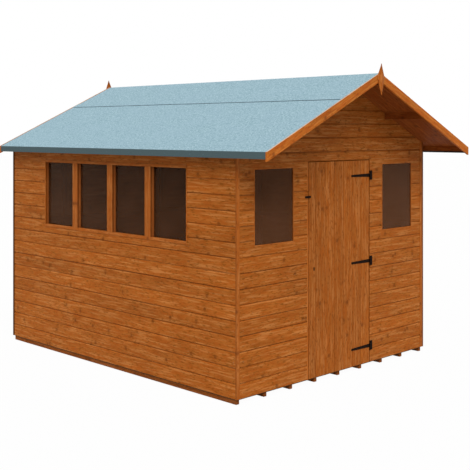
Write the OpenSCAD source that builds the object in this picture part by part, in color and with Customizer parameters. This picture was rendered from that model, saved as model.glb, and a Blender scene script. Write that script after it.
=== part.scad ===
// Apex garden shed of stained softwood: a timber floor on bearers, four clad
// wall panels on light frames, a felted roof that runs out over the front,
// and one ledged and braced door that opens outwards.
// Millimetres. +Z is up, the door is on the -Y side and the row of four
// windows is on the -X side. The origin is on the ground at the middle of
// the floor, under the middle bearer.

/* [Shed] */
// Width over the corner strips
shed_w = 2460; // [2100:10:3000]
// Depth over the corner strips
shed_d = 3118; // [2700:10:3800]
// Height of the side walls above the floor, at their outer face
wall_h = 1892; // [1860:4:2300]
// Pitch of the roof in degrees
roof_pitch = 24.8; // [18:0.2:32]

/* [Floor] */
// Thickness of the floor boards
floor_t = 12; // [10:1:20]
// Width of one bearer
bearer_w = 32; // [28:1:50]
// Height of one bearer
bearer_h = 32; // [28:1:50]
// How far the floor's front edge is set back behind the door's boards
floor_set_back = 6; // [5:1:12]
// Number of bearers
bearer_count = 9; // [6:1:11]

/* [Walls] */
// Thickness of the cladding
clad_t = 12; // [8:1:16]
// How far the corner strips stand proud of the cladding
strip_proud = 4; // [2:1:6]
// Width of a front corner strip
front_strip_w = 31; // [24:1:45]
// Width of the edge strip beside the front right corner strip
edge_strip_w = 20; // [12:1:30]
// Width of a rear corner strip on each face
rear_strip_w = 24; // [20:1:45]
// Depth of the wall frames, through the wall
frame_d = 33; // [26:1:45]
// Width of the frame members, along the wall
frame_w = 45; // [32:1:50]

/* [Windows] */
// Width of one window opening
window_w = 438; // [360:2:460]
// Height of one window opening
window_h = 579; // [460:1:600]
// Height of the window openings' lower edge above the floor
window_sill_h = 1136; // [900:4:1160]
// Width of the posts between the four side windows
window_post_w = 76; // [45:1:90]
// Distance from the middle of the front wall to the middle of a front window
front_window_x = 814; // [760:2:860]
// Thickness of the glass
glass_t = 4; // [3:1:6]
// How far the side windows' glass is set back behind the corner strips' face
glass_setback = 30; // [22:1:36]
// How far the front windows' glass is set back behind the cladding's face
front_glass_setback = 6; // [3:0.5:8]

/* [Door] */
// Width of the door leaf
door_w = 806; // [660:2:840]
// Height of the door leaf
door_h = 1755; // [1460:1:1780]
// Gap around the door leaf
door_gap = 6; // [5:0.5:9]
// Thickness of the door's boards
door_board_t = 12; // [10:1:18]
// Width of the ledges and braces
ledge_w = 95; // [70:1:120]
// Thickness of the ledges and braces
ledge_t = 18; // [12:1:22]
// How far the ledges stop short of the leaf's edges
ledge_inset = 28; // [26:1:50]
// How far the door stops stand into the doorway
stop_proud = 14; // [10:1:18]

/* [Hinges] */
// Heights of the three hinges above the floor
hinge_heights = [143, 881, 1625];
// Length of a hinge strap
strap_len = 257; // [180:1:320]
// Height of a strap at its knuckle
strap_root_h = 29; // [24:1:30]
// Height of a strap at its tip
strap_tip_h = 17; // [12:1:22]
// Width of the plate on the door post
plate_w = 36; // [28:1:44]
// Height of the plate on the door post
plate_h = 80; // [70:1:110]
// Thickness of the straps and plates
strap_t = 3; // [2:0.5:4]
// Outer radius of a hinge knuckle
knuckle_r = 5; // [4.5:0.5:6]
// Radius of a hinge pin
pin_r = 3; // [2:0.5:3.5]

/* [Turn button and keyhole] */
// Length of the turn button
button_len = 65; // [50:1:80]
// Height of the turn button
button_h = 17; // [12:1:17]
// Thickness of the turn button
button_t = 4; // [3:0.5:6]
// Height of the turn button above the floor
button_height = 1475; // [1250:5:1600]
// Distance from the doorway's edge to the button's screw
button_inset = 9; // [8:0.5:14]
// Distance of the turn button from the face of the door
button_clear = 5; // [5:0.5:8]
// Radius of the button's screw
screw_r = 2.5; // [2:0.5:3]
// Distance from the leaf's edge to the keyhole
keyhole_inset = 66; // [50:1:90]
// Height of the keyhole above the floor
keyhole_height = 885; // [850:5:915]

/* [Roof] */
// Overhang past the front corner strips, to the bargeboard's face
front_overhang = 413; // [200:1:500]
// Overhang past the rear corner strips, to the bargeboard's face
rear_overhang = 69; // [50:1:200]
// Overhang of the eaves past the side walls
eaves_overhang = 104; // [80:1:180]
// Thickness of the roof boards
roof_board_t = 12; // [10:1:18]
// Thickness of the roofing felt
felt_t = 3; // [2:0.5:4]
// Depth of the felt that is folded down over the eaves
felt_fold = 52; // [40:1:70]
// Half the width of the ridge strip of felt, measured level
ridge_felt_w = 484; // [300:2:600]
// Overlap of the ridge strip on the side felt
felt_lap = 75; // [50:5:120]
// Thickness of the eaves rails
eaves_rail_t = 45; // [28:1:60]
// How far the eaves rails end above the felt's lower edge
rail_lift = 16; // [0:1:24]
// Width of the purlins and the ridge beam
purlin_w = 33; // [26:1:45]
// Depth of the purlins
purlin_h = 42; // [36:1:70]
// Depth of the ridge beam
ridge_beam_h = 70; // [60:1:95]
// Distance of a purlin from the ridge, measured level
purlin_x = 646; // [480:2:720]

/* [Bargeboards and finials] */
// Width of a bargeboard
barge_w = 64; // [50:1:90]
// Thickness of a bargeboard
barge_t = 18; // [14:1:22]
// How far a bargeboard's top edge stands above the felt
barge_rise = 3; // [1:1:8]
// How far a bargeboard runs past the eaves
barge_end = 6; // [2:1:20]
// Height of a finial above the felt at the ridge
finial_up = 76; // [50:1:110]
// Depth of a finial below the felt at the ridge
finial_down = 176; // [130:1:220]
// Width of a finial across its shoulders
finial_w = 84; // [60:1:110]
// Thickness of a finial
finial_t = 18; // [14:1:22]

/* [Hidden] */

round_fn = 48;
// Amount by which a cutting shape runs past what it cuts
cut_over = 1;
// Running clearance around a pin or screw, and beside a turning piece
run_clear = 0.08;
end_clear = 0.2;
// Clearance between pieces that lie on each other on the slope of the roof
seat_gap = 0.05;

// Levels
floor_z = bearer_h + floor_t;
sill_z = floor_z + window_sill_h;
window_top_z = sill_z + window_h;
door_top_z = floor_z + door_h;
doorway_top_z = door_top_z + door_gap;
front_rail_z = max(doorway_top_z, window_top_z + frame_w);
rear_rail_z = front_rail_z;

// Planes of the walls, from the middle outwards
out_x = shed_w / 2;
out_y = shed_d / 2;
face_x = out_x - strip_proud;
face_y = out_y - strip_proud;
frame_out_x = face_x - clad_t;
frame_out_y = face_y - clad_t;
frame_in_x = frame_out_x - frame_d;
frame_in_y = frame_out_y - frame_d;
// Ends of the front cladding, between its corner strips
front_x0 = -out_x + front_strip_w;
front_x1 = out_x - edge_strip_w - front_strip_w;
floor_y0 = -face_y + door_board_t + floor_set_back;

// Roof: heights on the slope are given by the level distance from the ridge
slope = tan(roof_pitch);
board_rise = roof_board_t / cos(roof_pitch);
felt_rise = felt_t / cos(roof_pitch);
eaves_x = out_x + eaves_overhang;
rail_out_x = eaves_x - felt_t - seat_gap;
roof_y0 = -out_y - front_overhang + barge_t;
roof_y1 = out_y + rear_overhang - barge_t;
lap_x = ridge_felt_w - felt_lap;
lap_ramp = 20;

// The top of what carries the roof boards, then the boards' underside and
// top, and the underside and top of the side felt
function seat_z(x) = floor_z + wall_h + (out_x - x) * slope;
function under_z(x) = seat_z(x) + seat_gap;
function boards_z(x) = under_z(x) + board_rise;
function felt_under_z(x) = boards_z(x) + seat_gap;
function felt_z(x) = felt_under_z(x) + felt_rise;

top_plate_z = seat_z(frame_out_x) - frame_w;

// Windows along the left wall
window_pitch = window_w + window_post_w;
window_ys = [for (i = [-1.5:1:1.5]) i * window_pitch];
post_ys = [for (i = [-1:1]) i * window_pitch];
bank_half = 2 * window_w + 1.5 * window_post_w;

// Doorway and hinges
doorway_half = door_w / 2 + door_gap;
pin_x = doorway_half;
pin_y = -face_y - knuckle_r - 1;
pin_clear = 0.5;
strap_knuckle_h = strap_root_h + 1;

// Studs, by the middle of each
side_stud_ys = [
    -frame_out_y + frame_w / 2, -bank_half - frame_w / 2, -window_pitch, 0,
    window_pitch, bank_half + frame_w / 2, frame_out_y - frame_w / 2
];
back_stud_xs = [
    -frame_in_x + frame_w / 2, -purlin_x, 0, purlin_x,
    frame_in_x - frame_w / 2
];
front_stud_xs = [
    doorway_half + frame_w / 2,
    front_window_x - window_w / 2 - frame_w / 2,
    front_window_x + window_w / 2 + frame_w / 2,
    frame_in_x - frame_w / 2
];

// ---- Shapes that are used again ----------------------------------------

// A square-edged timber between two opposite corners
module timber(lo, hi) {
    translate(lo) cube(hi - lo);
}

// An outline in X and Z, run from y0 to y1
module run_y(y0, y1) {
    translate([0, y1, 0]) rotate([90, 0, 0]) linear_extrude(y1 - y0) children();
}

// The same piece on both sides of the shed
module both_sides() {
    children();
    mirror([1, 0, 0]) children();
}

// A side wall's flat piece on the right, from z0 up to the roof boards
module under_roof_right(x0, x1, y0, y1, z0) {
    run_y(y0, y1) polygon([
        [x0, z0], [x1, z0], [x1, seat_z(x1)], [x0, seat_z(x0)]
    ]);
}

// The doorway, cut through the front wall
module doorway_cut() {
    timber(
        [-doorway_half, -out_y - cut_over, floor_z - cut_over],
        [doorway_half, -frame_in_y + cut_over, doorway_top_z]
    );
}

// A window opening of the front wall on the right
module front_window_cut_right() {
    timber(
        [front_window_x - window_w / 2, -out_y - cut_over, sill_z],
        [front_window_x + window_w / 2, -frame_in_y + cut_over, window_top_z]
    );
}

// ---- Floor --------------------------------------------------------------

module bearers() {
    span = 2 * frame_out_x - bearer_w;
    color("sienna")
        for (i = [0:bearer_count - 1]) {
            x = -span / 2 + i * span / (bearer_count - 1);
            timber(
                [x - bearer_w / 2, floor_y0, 0],
                [x + bearer_w / 2, frame_out_y, bearer_h]
            );
        }
}

module floor_boards() {
    color("peru")
        timber([-frame_out_x, floor_y0, bearer_h], [frame_out_x, frame_out_y, floor_z]);
}

// ---- Left wall, with its row of four windows ----------------------------

module left_wall_lower() {
    color("chocolate")
        timber(
            [-face_x, -frame_out_y, floor_z],
            [-frame_out_x, out_y - rear_strip_w, sill_z]
        );
}

module left_wall_piers() {
    color("chocolate") {
        timber(
            [-face_x, -frame_out_y, sill_z],
            [-frame_out_x, -bank_half, window_top_z]
        );
        timber(
            [-face_x, bank_half, sill_z],
            [-frame_out_x, out_y - rear_strip_w, window_top_z]
        );
    }
}

module left_wall_upper() {
    color("chocolate")
        mirror([1, 0, 0])
            under_roof_right(
                frame_out_x, face_x, -frame_out_y, out_y - rear_strip_w,
                window_top_z
            );
}

module left_window_posts() {
    color("peru")
        for (y = post_ys)
            timber(
                [-out_x, y - window_post_w / 2, sill_z],
                [-frame_in_x, y + window_post_w / 2, window_top_z]
            );
}

module left_window_panes() {
    color("dimgray")
        for (y = window_ys)
            timber(
                [-out_x + glass_setback, y - window_w / 2, sill_z],
                [-out_x + glass_setback + glass_t, y + window_w / 2, window_top_z]
            );
}

// ---- Front wall ---------------------------------------------------------

// One level of the front cladding, with the openings cut through
module front_cladding(z0, z1) {
    difference() {
        timber(
            [front_x0, -face_y, z0],
            [front_x1, -frame_out_y, z1]
        );
        doorway_cut();
        both_sides() front_window_cut_right();
    }
}

module front_wall_lower() {
    color("chocolate") front_cladding(floor_z, sill_z);
}

module front_wall_piers() {
    color("chocolate") front_cladding(sill_z, window_top_z);
}

// The outline of a gable between x0 and x1, from level z0 to the roof boards,
// notched for the purlins and the ridge beam
module gable_outline(x0, x1, z0) {
    difference() {
        polygon([
            [x0, z0], [x1, z0], [x1, seat_z(x1)],
            [0, seat_z(0)], [x0, seat_z(-x0)]
        ]);
        both_sides() purlin_outline(cut_over);
        ridge_outline(cut_over);
    }
}

module front_gable() {
    color("chocolate")
        difference() {
            run_y(-face_y, -frame_out_y)
                gable_outline(front_x0, front_x1, window_top_z);
            doorway_cut();
        }
}

module front_window_panes() {
    pane_y = -face_y + front_glass_setback;
    color("dimgray")
        both_sides()
            timber(
                [front_window_x - window_w / 2, pane_y, sill_z],
                [front_window_x + window_w / 2, pane_y + glass_t, window_top_z]
            );
}

// ---- Right and back walls -----------------------------------------------

module right_wall() {
    color("chocolate")
        under_roof_right(
            frame_out_x, face_x, -frame_out_y, out_y - rear_strip_w, floor_z
        );
}

module back_wall() {
    color("chocolate")
        run_y(frame_out_y, face_y)
            gable_outline(-out_x + rear_strip_w, out_x - rear_strip_w, floor_z);
}

// ---- Corner strips ------------------------------------------------------

// A strip on the front face between x0 and x1, up to the roof boards
module front_strip(x0, x1) {
    run_y(-out_y, -frame_out_y) polygon([
        [x0, floor_z], [x1, floor_z], [x1, seat_z(abs(x1))], [x0, seat_z(abs(x0))]
    ]);
}

module front_corner_strips() {
    color("peru") {
        front_strip(-out_x, front_x0);
        front_strip(front_x1, out_x - edge_strip_w - seat_gap);
        front_strip(out_x - edge_strip_w, out_x);
    }
}

// L-shaped strips around the two rear corners
module rear_corner_strips() {
    color("saddlebrown")
        both_sides()
            translate([0, 0, floor_z])
                linear_extrude(seat_z(out_x) - floor_z)
                    polygon([
                        [out_x, out_y], [out_x - rear_strip_w, out_y],
                        [out_x - rear_strip_w, frame_out_y],
                        [frame_out_x, frame_out_y],
                        [frame_out_x, out_y - rear_strip_w],
                        [out_x, out_y - rear_strip_w]
                    ]);
}

// ---- Wall frames --------------------------------------------------------

// A level rail of a right-hand side frame, with its lower edge at z
module side_rail_right(z) {
    timber([frame_in_x, -frame_out_y, z], [frame_out_x, frame_out_y, z + frame_w]);
}

// The plate along the top of a right-hand side frame
module top_plate_right() {
    under_roof_right(
        frame_in_x, frame_out_x, -frame_out_y, frame_out_y,
        top_plate_z
    );
}

module side_studs_right() {
    for (y = side_stud_ys)
        timber(
            [frame_in_x, y - frame_w / 2, floor_z],
            [frame_out_x, y + frame_w / 2, top_plate_z]
        );
}

module left_rails_as_right() {
    side_rail_right(floor_z);
    side_rail_right(sill_z - frame_w);
    side_rail_right(window_top_z);
    top_plate_right();
}

module right_rails() {
    side_rail_right(floor_z);
    side_rail_right(sill_z - frame_w);
    top_plate_right();
}

module left_wall_rails() {
    color("burlywood") mirror([1, 0, 0]) left_rails_as_right();
}

module left_wall_studs() {
    color("burlywood")
        mirror([1, 0, 0])
            difference() {
                side_studs_right();
                left_rails_as_right();
                timber(
                    [frame_in_x - cut_over, -bank_half, sill_z],
                    [frame_out_x + cut_over, bank_half, window_top_z]
                );
            }
}

module right_wall_rails() {
    color("burlywood") right_rails();
}

module right_wall_studs() {
    color("burlywood")
        difference() {
            side_studs_right();
            right_rails();
        }
}

// A level rail across the back frame, with its lower edge at z
module back_rail(z) {
    timber([-frame_in_x, frame_in_y, z], [frame_in_x, frame_out_y, z + frame_w]);
}

module back_wall_rails() {
    color("burlywood") {
        back_rail(floor_z);
        back_rail(sill_z - frame_w);
        back_rail(rear_rail_z);
    }
}

module back_wall_studs() {
    color("burlywood")
        difference() {
            for (x = back_stud_xs)
                timber(
                    [x - frame_w / 2, frame_in_y, floor_z],
                    [x + frame_w / 2, frame_out_y, rear_rail_z]
                );
            back_wall_rails();
        }
}

module front_studs() {
    both_sides()
        for (x = front_stud_xs)
            timber(
                [x - frame_w / 2, -frame_out_y, floor_z],
                [x + frame_w / 2, -frame_in_y, front_rail_z]
            );
}

module front_wall_studs() {
    color("burlywood") front_studs();
}

module front_wall_rails() {
    color("burlywood") {
        difference() {
            for (z = [floor_z, sill_z - frame_w, window_top_z])
                timber(
                    [-frame_in_x, -frame_out_y, z],
                    [frame_in_x, -frame_in_y, min(z + frame_w, front_rail_z)]
                );
            front_studs();
            doorway_cut();
        }
        timber(
            [-frame_in_x, -frame_out_y, front_rail_z],
            [frame_in_x, -frame_in_y, front_rail_z + frame_w]
        );
    }
}

// Posts that carry the purlins and the ridge beam on the end frames
module gable_posts() {
    post_z = front_rail_z + frame_w;
    ends = [[-frame_out_y, -frame_in_y], [frame_in_y, frame_out_y]];
    color("burlywood")
        for (y = ends) {
            both_sides()
                timber([purlin_x - frame_w / 2, y[0], post_z],
                       [purlin_x + frame_w / 2, y[1], purlin_bottom_z - seat_gap]);
            timber([-frame_w / 2, y[0], post_z],
                   [frame_w / 2, y[1], ridge_bottom_z - seat_gap]);
        }
}

// Stops behind the door's boards, on the two door posts
module door_stops() {
    stop_y = -face_y + door_board_t + door_gap;
    color("burlywood")
        both_sides()
            timber(
                [doorway_half - stop_proud, stop_y, floor_z],
                [doorway_half, -frame_in_y, doorway_top_z]
            );
}

// ---- Roof ---------------------------------------------------------------

purlin_bottom_z = seat_z(purlin_x + purlin_w / 2) - purlin_h;
ridge_bottom_z = seat_z(purlin_w / 2) - ridge_beam_h;

// The ends of a purlin and of the ridge beam; over lifts the top, for a notch
module purlin_outline(over = 0) {
    x0 = purlin_x - purlin_w / 2;
    x1 = purlin_x + purlin_w / 2;
    polygon([
        [x0, purlin_bottom_z], [x1, purlin_bottom_z],
        [x1, seat_z(x1) + over], [x0, seat_z(x0) + over]
    ]);
}

module ridge_outline(over = 0) {
    x = purlin_w / 2;
    polygon([
        [-x, ridge_bottom_z], [x, ridge_bottom_z], [x, seat_z(x) + over],
        [0, seat_z(0) + over], [-x, seat_z(x) + over]
    ]);
}

module ridge_beam() {
    color("burlywood") run_y(roof_y0, roof_y1) ridge_outline();
}

module purlins() {
    color("burlywood") run_y(roof_y0, roof_y1) both_sides() purlin_outline();
}

module eaves_rails() {
    rail_z0 = felt_z(eaves_x) - felt_fold + rail_lift;
    x0 = rail_out_x - eaves_rail_t;
    color("burlywood")
        run_y(roof_y0, roof_y1)
            both_sides()
                polygon([
                    [x0, rail_z0], [rail_out_x, rail_z0],
                    [rail_out_x, seat_z(rail_out_x)], [x0, seat_z(x0)]
                ]);
}

module boards_right() {
    run_y(roof_y0, roof_y1)
        polygon([
            [0, under_z(0)], [rail_out_x, under_z(rail_out_x)],
            [rail_out_x, boards_z(rail_out_x)], [0, boards_z(0)]
        ]);
}

module roof_boards_left() {
    color("peru") mirror([1, 0, 0]) boards_right();
}

module roof_boards_right() {
    color("peru") boards_right();
}

// The side sheet of felt, folded down over the eaves
module side_felt_right() {
    fold_x = eaves_x - felt_t;
    run_y(roof_y0, roof_y1)
        polygon([
            [lap_x, felt_under_z(lap_x)], [fold_x, felt_under_z(fold_x)],
            [fold_x, felt_z(eaves_x) - felt_fold],
            [eaves_x, felt_z(eaves_x) - felt_fold],
            [eaves_x, felt_z(eaves_x)], [lap_x, felt_z(lap_x)]
        ]);
}

module felt_left() {
    color("lightsteelblue") mirror([1, 0, 0]) side_felt_right();
}

module felt_right() {
    color("lightsteelblue") side_felt_right();
}

// Mirrors a list of points over the middle, in the opposite order
function mirrored(points) =
    [for (i = [len(points) - 1:-1:0]) [-points[i][0], points[i][1]]];

// The ridge strip of felt, which laps over both side sheets
module felt_ridge() {
    x0 = lap_x - seat_gap;
    below = [
        [x0, felt_under_z(x0)],
        [x0, felt_z(x0) + seat_gap],
        [ridge_felt_w, felt_z(ridge_felt_w) + seat_gap],
        [ridge_felt_w, felt_z(ridge_felt_w) + seat_gap + felt_rise],
        [x0, felt_z(x0) + seat_gap + felt_rise],
        [lap_x - lap_ramp, felt_z(lap_x - lap_ramp)]
    ];
    color("lightsteelblue")
        run_y(roof_y0, roof_y1)
            polygon(concat(
                [[0, felt_under_z(0)]], below, [[0, felt_z(0)]], mirrored(below)
            ));
}

// ---- Bargeboards and finials --------------------------------------------

module bargeboards_as_right() {
    end_x = eaves_x + barge_end;
    drop = barge_w / cos(roof_pitch);
    for (y0 = [-out_y - front_overhang, out_y + rear_overhang - barge_t])
        run_y(y0, y0 + barge_t)
            polygon([
                [0, felt_z(0) + barge_rise - drop],
                [end_x, felt_z(end_x) + barge_rise - drop],
                [end_x, felt_z(end_x) + barge_rise],
                [0, felt_z(0) + barge_rise]
            ]);
}

module bargeboards_left() {
    color("chocolate") mirror([1, 0, 0]) bargeboards_as_right();
}

module bargeboards_right() {
    color("chocolate") bargeboards_as_right();
}

// The half width of a finial at a share t of its upper spike, hollow-sided
function spike_half(t) = finial_w / 2 * (tip_share + (1 - tip_share) * pow(1 - t, 2));
tip_share = 0.07;
spike_steps = 8;
// Where the spikes start, above and below the finial's middle
finial_mid_z = felt_z(0) - 40;
shoulder_h = 12;

module finial_outline() {
    up = felt_z(0) + finial_up - finial_mid_z - shoulder_h;
    down = finial_mid_z - shoulder_h - (felt_z(0) - finial_down);
    steps = [for (i = [0:spike_steps]) i / spike_steps];
    right_up = [for (t = steps)
        [spike_half(t), finial_mid_z + shoulder_h + up * t]];
    right_down = [for (t = steps)
        [finial_w / 2 * (1 - (1 - tip_share) * t), finial_mid_z - shoulder_h - down * t]];
    right = concat([for (i = [spike_steps:-1:0]) right_down[i]], right_up);
    polygon(concat(right, mirrored(right)));
}

module finials() {
    color("chocolate") {
        run_y(-out_y - front_overhang - finial_t, -out_y - front_overhang)
            finial_outline();
        run_y(out_y + rear_overhang, out_y + rear_overhang + finial_t)
            finial_outline();
    }
}

// ---- Hinges: plates and pins on the post, straps on the door --------------

module pin_cylinder(r, z0, z1) {
    translate([pin_x, pin_y, z0]) cylinder(h = z1 - z0, r = r, $fn = round_fn);
}

module hinge_plate(z) {
    gap_half = strap_knuckle_h / 2 + pin_clear;
    difference() {
        union() {
            timber(
                [pin_x, -face_y - strap_t, z - plate_h / 2],
                [pin_x + plate_w, -face_y, z + plate_h / 2]
            );
            pin_cylinder(knuckle_r, z - plate_h / 2, z + plate_h / 2);
        }
        timber(
            [pin_x - 2 * knuckle_r, pin_y - 2 * knuckle_r, z - gap_half],
            [pin_x + knuckle_r + cut_over, -face_y + cut_over, z + gap_half]
        );
    }
    pin_cylinder(pin_r, z - plate_h / 2 + cut_over, z + plate_h / 2 - cut_over);
}

module hinge_plates() {
    color("black")
        for (h = hinge_heights)
            hinge_plate(floor_z + h);
}

module hinge_strap(z) {
    root_x = pin_x - 2;
    tip_x = pin_x - strap_len;
    difference() {
        union() {
            run_y(-face_y - strap_t, -face_y)
                polygon([
                    [tip_x, z - strap_tip_h / 2], [root_x, z - strap_root_h / 2],
                    [root_x, z + strap_root_h / 2], [tip_x, z + strap_tip_h / 2]
                ]);
            pin_cylinder(knuckle_r, z - strap_knuckle_h / 2, z + strap_knuckle_h / 2);
        }
        pin_cylinder(pin_r + run_clear, z - plate_h, z + plate_h);
    }
}

module hinge_straps() {
    color("black")
        for (h = hinge_heights)
            hinge_strap(floor_z + h);
}

// ---- Door ---------------------------------------------------------------

ledge_half = door_w / 2 - ledge_inset;
ledge_y0 = -face_y + door_board_t;
ledge_y1 = ledge_y0 + ledge_t;

module door_boards() {
    color("chocolate")
        timber([-door_w / 2, -face_y, floor_z], [door_w / 2, ledge_y0, door_top_z]);
}

module door_ledges() {
    color("burlywood")
        for (h = hinge_heights)
            timber(
                [-ledge_half, ledge_y0, floor_z + h - ledge_w / 2],
                [ledge_half, ledge_y1, floor_z + h + ledge_w / 2]
            );
}

// Each brace rises from the hinge side to the closing side
module door_braces() {
    foot = ledge_w * 1.15;
    color("burlywood")
        for (i = [0:len(hinge_heights) - 2]) {
            z0 = floor_z + hinge_heights[i] + ledge_w / 2;
            z1 = floor_z + hinge_heights[i + 1] - ledge_w / 2;
            run_y(ledge_y0, ledge_y1)
                polygon([
                    [ledge_half - foot, z0], [ledge_half, z0],
                    [-ledge_half + foot, z1], [-ledge_half, z1]
                ]);
        }
}

// ---- Keyhole plates, outside and inside -----------------------------------

keyhole_plate_w = 14;
keyhole_plate_h = 26;
keyhole_plate_t = 1.5;
keyhole_w = 4;
keyhole_h = 14;

module keyhole_plate(y) {
    x = -door_w / 2 + keyhole_inset;
    z = floor_z + keyhole_height;
    difference() {
        timber(
            [x - keyhole_plate_w / 2, y, z - keyhole_plate_h / 2],
            [x + keyhole_plate_w / 2, y + keyhole_plate_t, z + keyhole_plate_h / 2]
        );
        timber(
            [x - keyhole_w / 2, y - cut_over, z - keyhole_h / 2],
            [x + keyhole_w / 2, y + keyhole_plate_t + cut_over, z + keyhole_h / 2]
        );
    }
}

module keyhole_plates() {
    color("black") {
        keyhole_plate(-face_y - keyhole_plate_t);
        keyhole_plate(ledge_y1);
    }
}

// ---- Turn button --------------------------------------------------------

button_x = -doorway_half - button_inset;
button_z = floor_z + button_height;
button_y1 = -face_y - button_clear;
button_y0 = button_y1 - button_t;
screw_head_t = 2;
screw_head_r = 5.5;
washer_r = 7;

// A round along Y through the button's screw
module button_round(r, y0, y1) {
    translate([button_x, y1, button_z])
        rotate([90, 0, 0]) cylinder(h = y1 - y0, r = r, $fn = round_fn);
}

module button_screw() {
    color("black") {
        button_round(washer_r, button_y1 + end_clear, -face_y);
        button_round(screw_r, button_y0 - end_clear - screw_head_t, -face_y);
        button_round(
            screw_head_r, button_y0 - end_clear - screw_head_t, button_y0 - end_clear
        );
    }
}

module turn_button() {
    color("black")
        difference() {
            timber(
                [button_x - button_len / 2, button_y0, button_z - button_h / 2],
                [button_x + button_len / 2, button_y1, button_z + button_h / 2]
            );
            button_round(screw_r + run_clear, button_y0 - cut_over, button_y1 + cut_over);
        }
}

// ---- What is drawn --------------------------------------------------------

bearers();
floor_boards();
left_wall_lower();
left_wall_piers();
left_wall_upper();
left_window_posts();
left_window_panes();
front_wall_lower();
front_wall_piers();
front_gable();
front_window_panes();
right_wall();
back_wall();
front_corner_strips();
rear_corner_strips();
left_wall_rails();
left_wall_studs();
right_wall_rails();
right_wall_studs();
back_wall_rails();
back_wall_studs();
front_wall_rails();
front_wall_studs();
gable_posts();
door_stops();
ridge_beam();
purlins();
eaves_rails();
roof_boards_left();
roof_boards_right();
felt_left();
felt_right();
felt_ridge();
bargeboards_left();
bargeboards_right();
finials();
hinge_plates();
button_screw();
door_boards();
door_ledges();
door_braces();
hinge_straps();
keyhole_plates();
turn_button();
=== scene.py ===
# %% [markdown]
# # A garden shed of stained softwood
# The real shed is a light timber building: frames of 45 by 33 mm softwood, clad on the outside
# with shiplap boards, stained orange brown by dipping, and roofed with boards and mineral felt.
# The frame that is loaded here already holds every solid at its true size. This lesson gives
# each of them its looks: boards with their real profiles, the grain of each board, grit on the
# felt, nail heads, beads around the glass. Every size below is in metres unless it says mm.

# %% Load the frame
import math
import random

import bmesh
import bpy
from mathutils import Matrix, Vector


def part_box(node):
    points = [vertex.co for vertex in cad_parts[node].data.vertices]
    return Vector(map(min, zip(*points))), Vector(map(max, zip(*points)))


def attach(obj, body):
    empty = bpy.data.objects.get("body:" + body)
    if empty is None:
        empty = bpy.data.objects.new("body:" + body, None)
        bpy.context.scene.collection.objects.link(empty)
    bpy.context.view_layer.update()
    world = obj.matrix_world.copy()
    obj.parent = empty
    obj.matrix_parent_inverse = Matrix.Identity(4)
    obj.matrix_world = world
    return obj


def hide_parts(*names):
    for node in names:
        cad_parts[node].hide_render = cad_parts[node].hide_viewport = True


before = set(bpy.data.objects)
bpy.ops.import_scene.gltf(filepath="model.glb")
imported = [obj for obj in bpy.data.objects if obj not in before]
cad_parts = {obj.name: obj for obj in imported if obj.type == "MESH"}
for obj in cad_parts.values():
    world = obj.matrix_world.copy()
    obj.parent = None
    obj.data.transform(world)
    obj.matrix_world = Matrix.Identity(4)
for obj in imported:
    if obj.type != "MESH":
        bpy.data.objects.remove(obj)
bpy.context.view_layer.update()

# %% [markdown]
# ## Colours
# Paint and stain colours are easiest to read as the hex values of a colour picker. Those are
# sRGB values, made for screens, and Blender's nodes mix light in linear values. One function
# turns the first into the second, so every colour below can be checked with any picker.


# %% Turn a hex colour into linear light
def linear(hex_colour):
    """An sRGB hex colour, such as "a0592a", as the linear RGBA that the nodes take."""
    parts = [int(hex_colour[i : i + 2], 16) / 255 for i in (0, 2, 4)]
    light = [p / 12.92 if p <= 0.04045 else ((p + 0.055) / 1.055) ** 2.4 for p in parts]
    return (*light, 1.0)


print("stain in linear light:", [round(v, 3) for v in linear("9d5724")])

# %% [markdown]
# ## A helper for shader nodes
# A material is a tree of nodes joined by links. One small function adds a node, sets its
# properties, and fills its sockets. A socket gets either a plain value or another node's
# output, so the lines of a material read from left to right like the tree itself. The few
# settings that come up again and again get short names here.

# %% Add one node with its settings and links
COLOUR_MIX = {"data_type": "RGBA"}
TIMES = {"operation": "MULTIPLY"}
TIMES_PLUS = {"operation": "MULTIPLY_ADD"}
LARGER = {"operation": "MAXIMUM"}
SMOOTH = {"interpolation_type": "SMOOTHSTEP"}


def add(tree, kind, settings=None, inputs=None):
    """A new node of a kind, such as "TexNoise". Its inputs are values or other nodes' outputs."""
    node = tree.nodes.new("ShaderNode" + kind)
    for name, value in (settings or {}).items():
        setattr(node, name, value)
    for socket, value in (inputs or {}).items():
        if isinstance(value, bpy.types.NodeSocket):
            tree.links.new(value, node.inputs[socket])
        else:
            node.inputs[socket].default_value = value
    return node


def new_material(name):
    """An empty material and its node tree."""
    material = bpy.data.materials.new(name)
    material.use_nodes = True
    material.node_tree.nodes.clear()
    print("new material:", name)
    return material, material.node_tree


# %% [markdown]
# ## Stained softwood
# The boards are spruce, planed and then dipped in a thin orange brown stain. The stain leaves
# the grain showing: pale early wood, darker late wood, knots, and streaks where the wood drank
# more. A picture of wood would repeat, and it would not follow the cut ends. Here the grain is
# a solid pattern instead: rings around a pith that lies beside the board, so a face shows long
# flames and an end shows arcs. Each board carries its own coordinates, in metres, in a mesh
# attribute named grain: x runs along the board, y across it and z through it. A second
# attribute, tone, makes each board a little lighter or darker than the next, and the boards
# under the eaves darker still with painted shade. A third is 1 where stain pools or end grain
# drinks it: in hollows, in joints and on cut ends. The third also carries painted shade: under
# the shiplap's lips, in the window recesses, beside the door, on the floor's edges and on the
# corner strips.
#
# The knots come first, because they bend the rings around them. A knot is the foot of a branch
# and runs right through the board, so its pattern is flat. A Voronoi texture puts one point in
# each square of 190 mm, and about half of the points become knots. A knot's heart is 11 mm
# wide and it fades out 45 mm wide, and the swirl of rings around it is more than twice that.

# %% Place the knots
KNOT_CELL = 0.19
KNOT_CHANCE = 0.52
KNOT_EDGE, SWIRL_EDGE = (0.03, 0.12), (0.03, 0.30)


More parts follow.
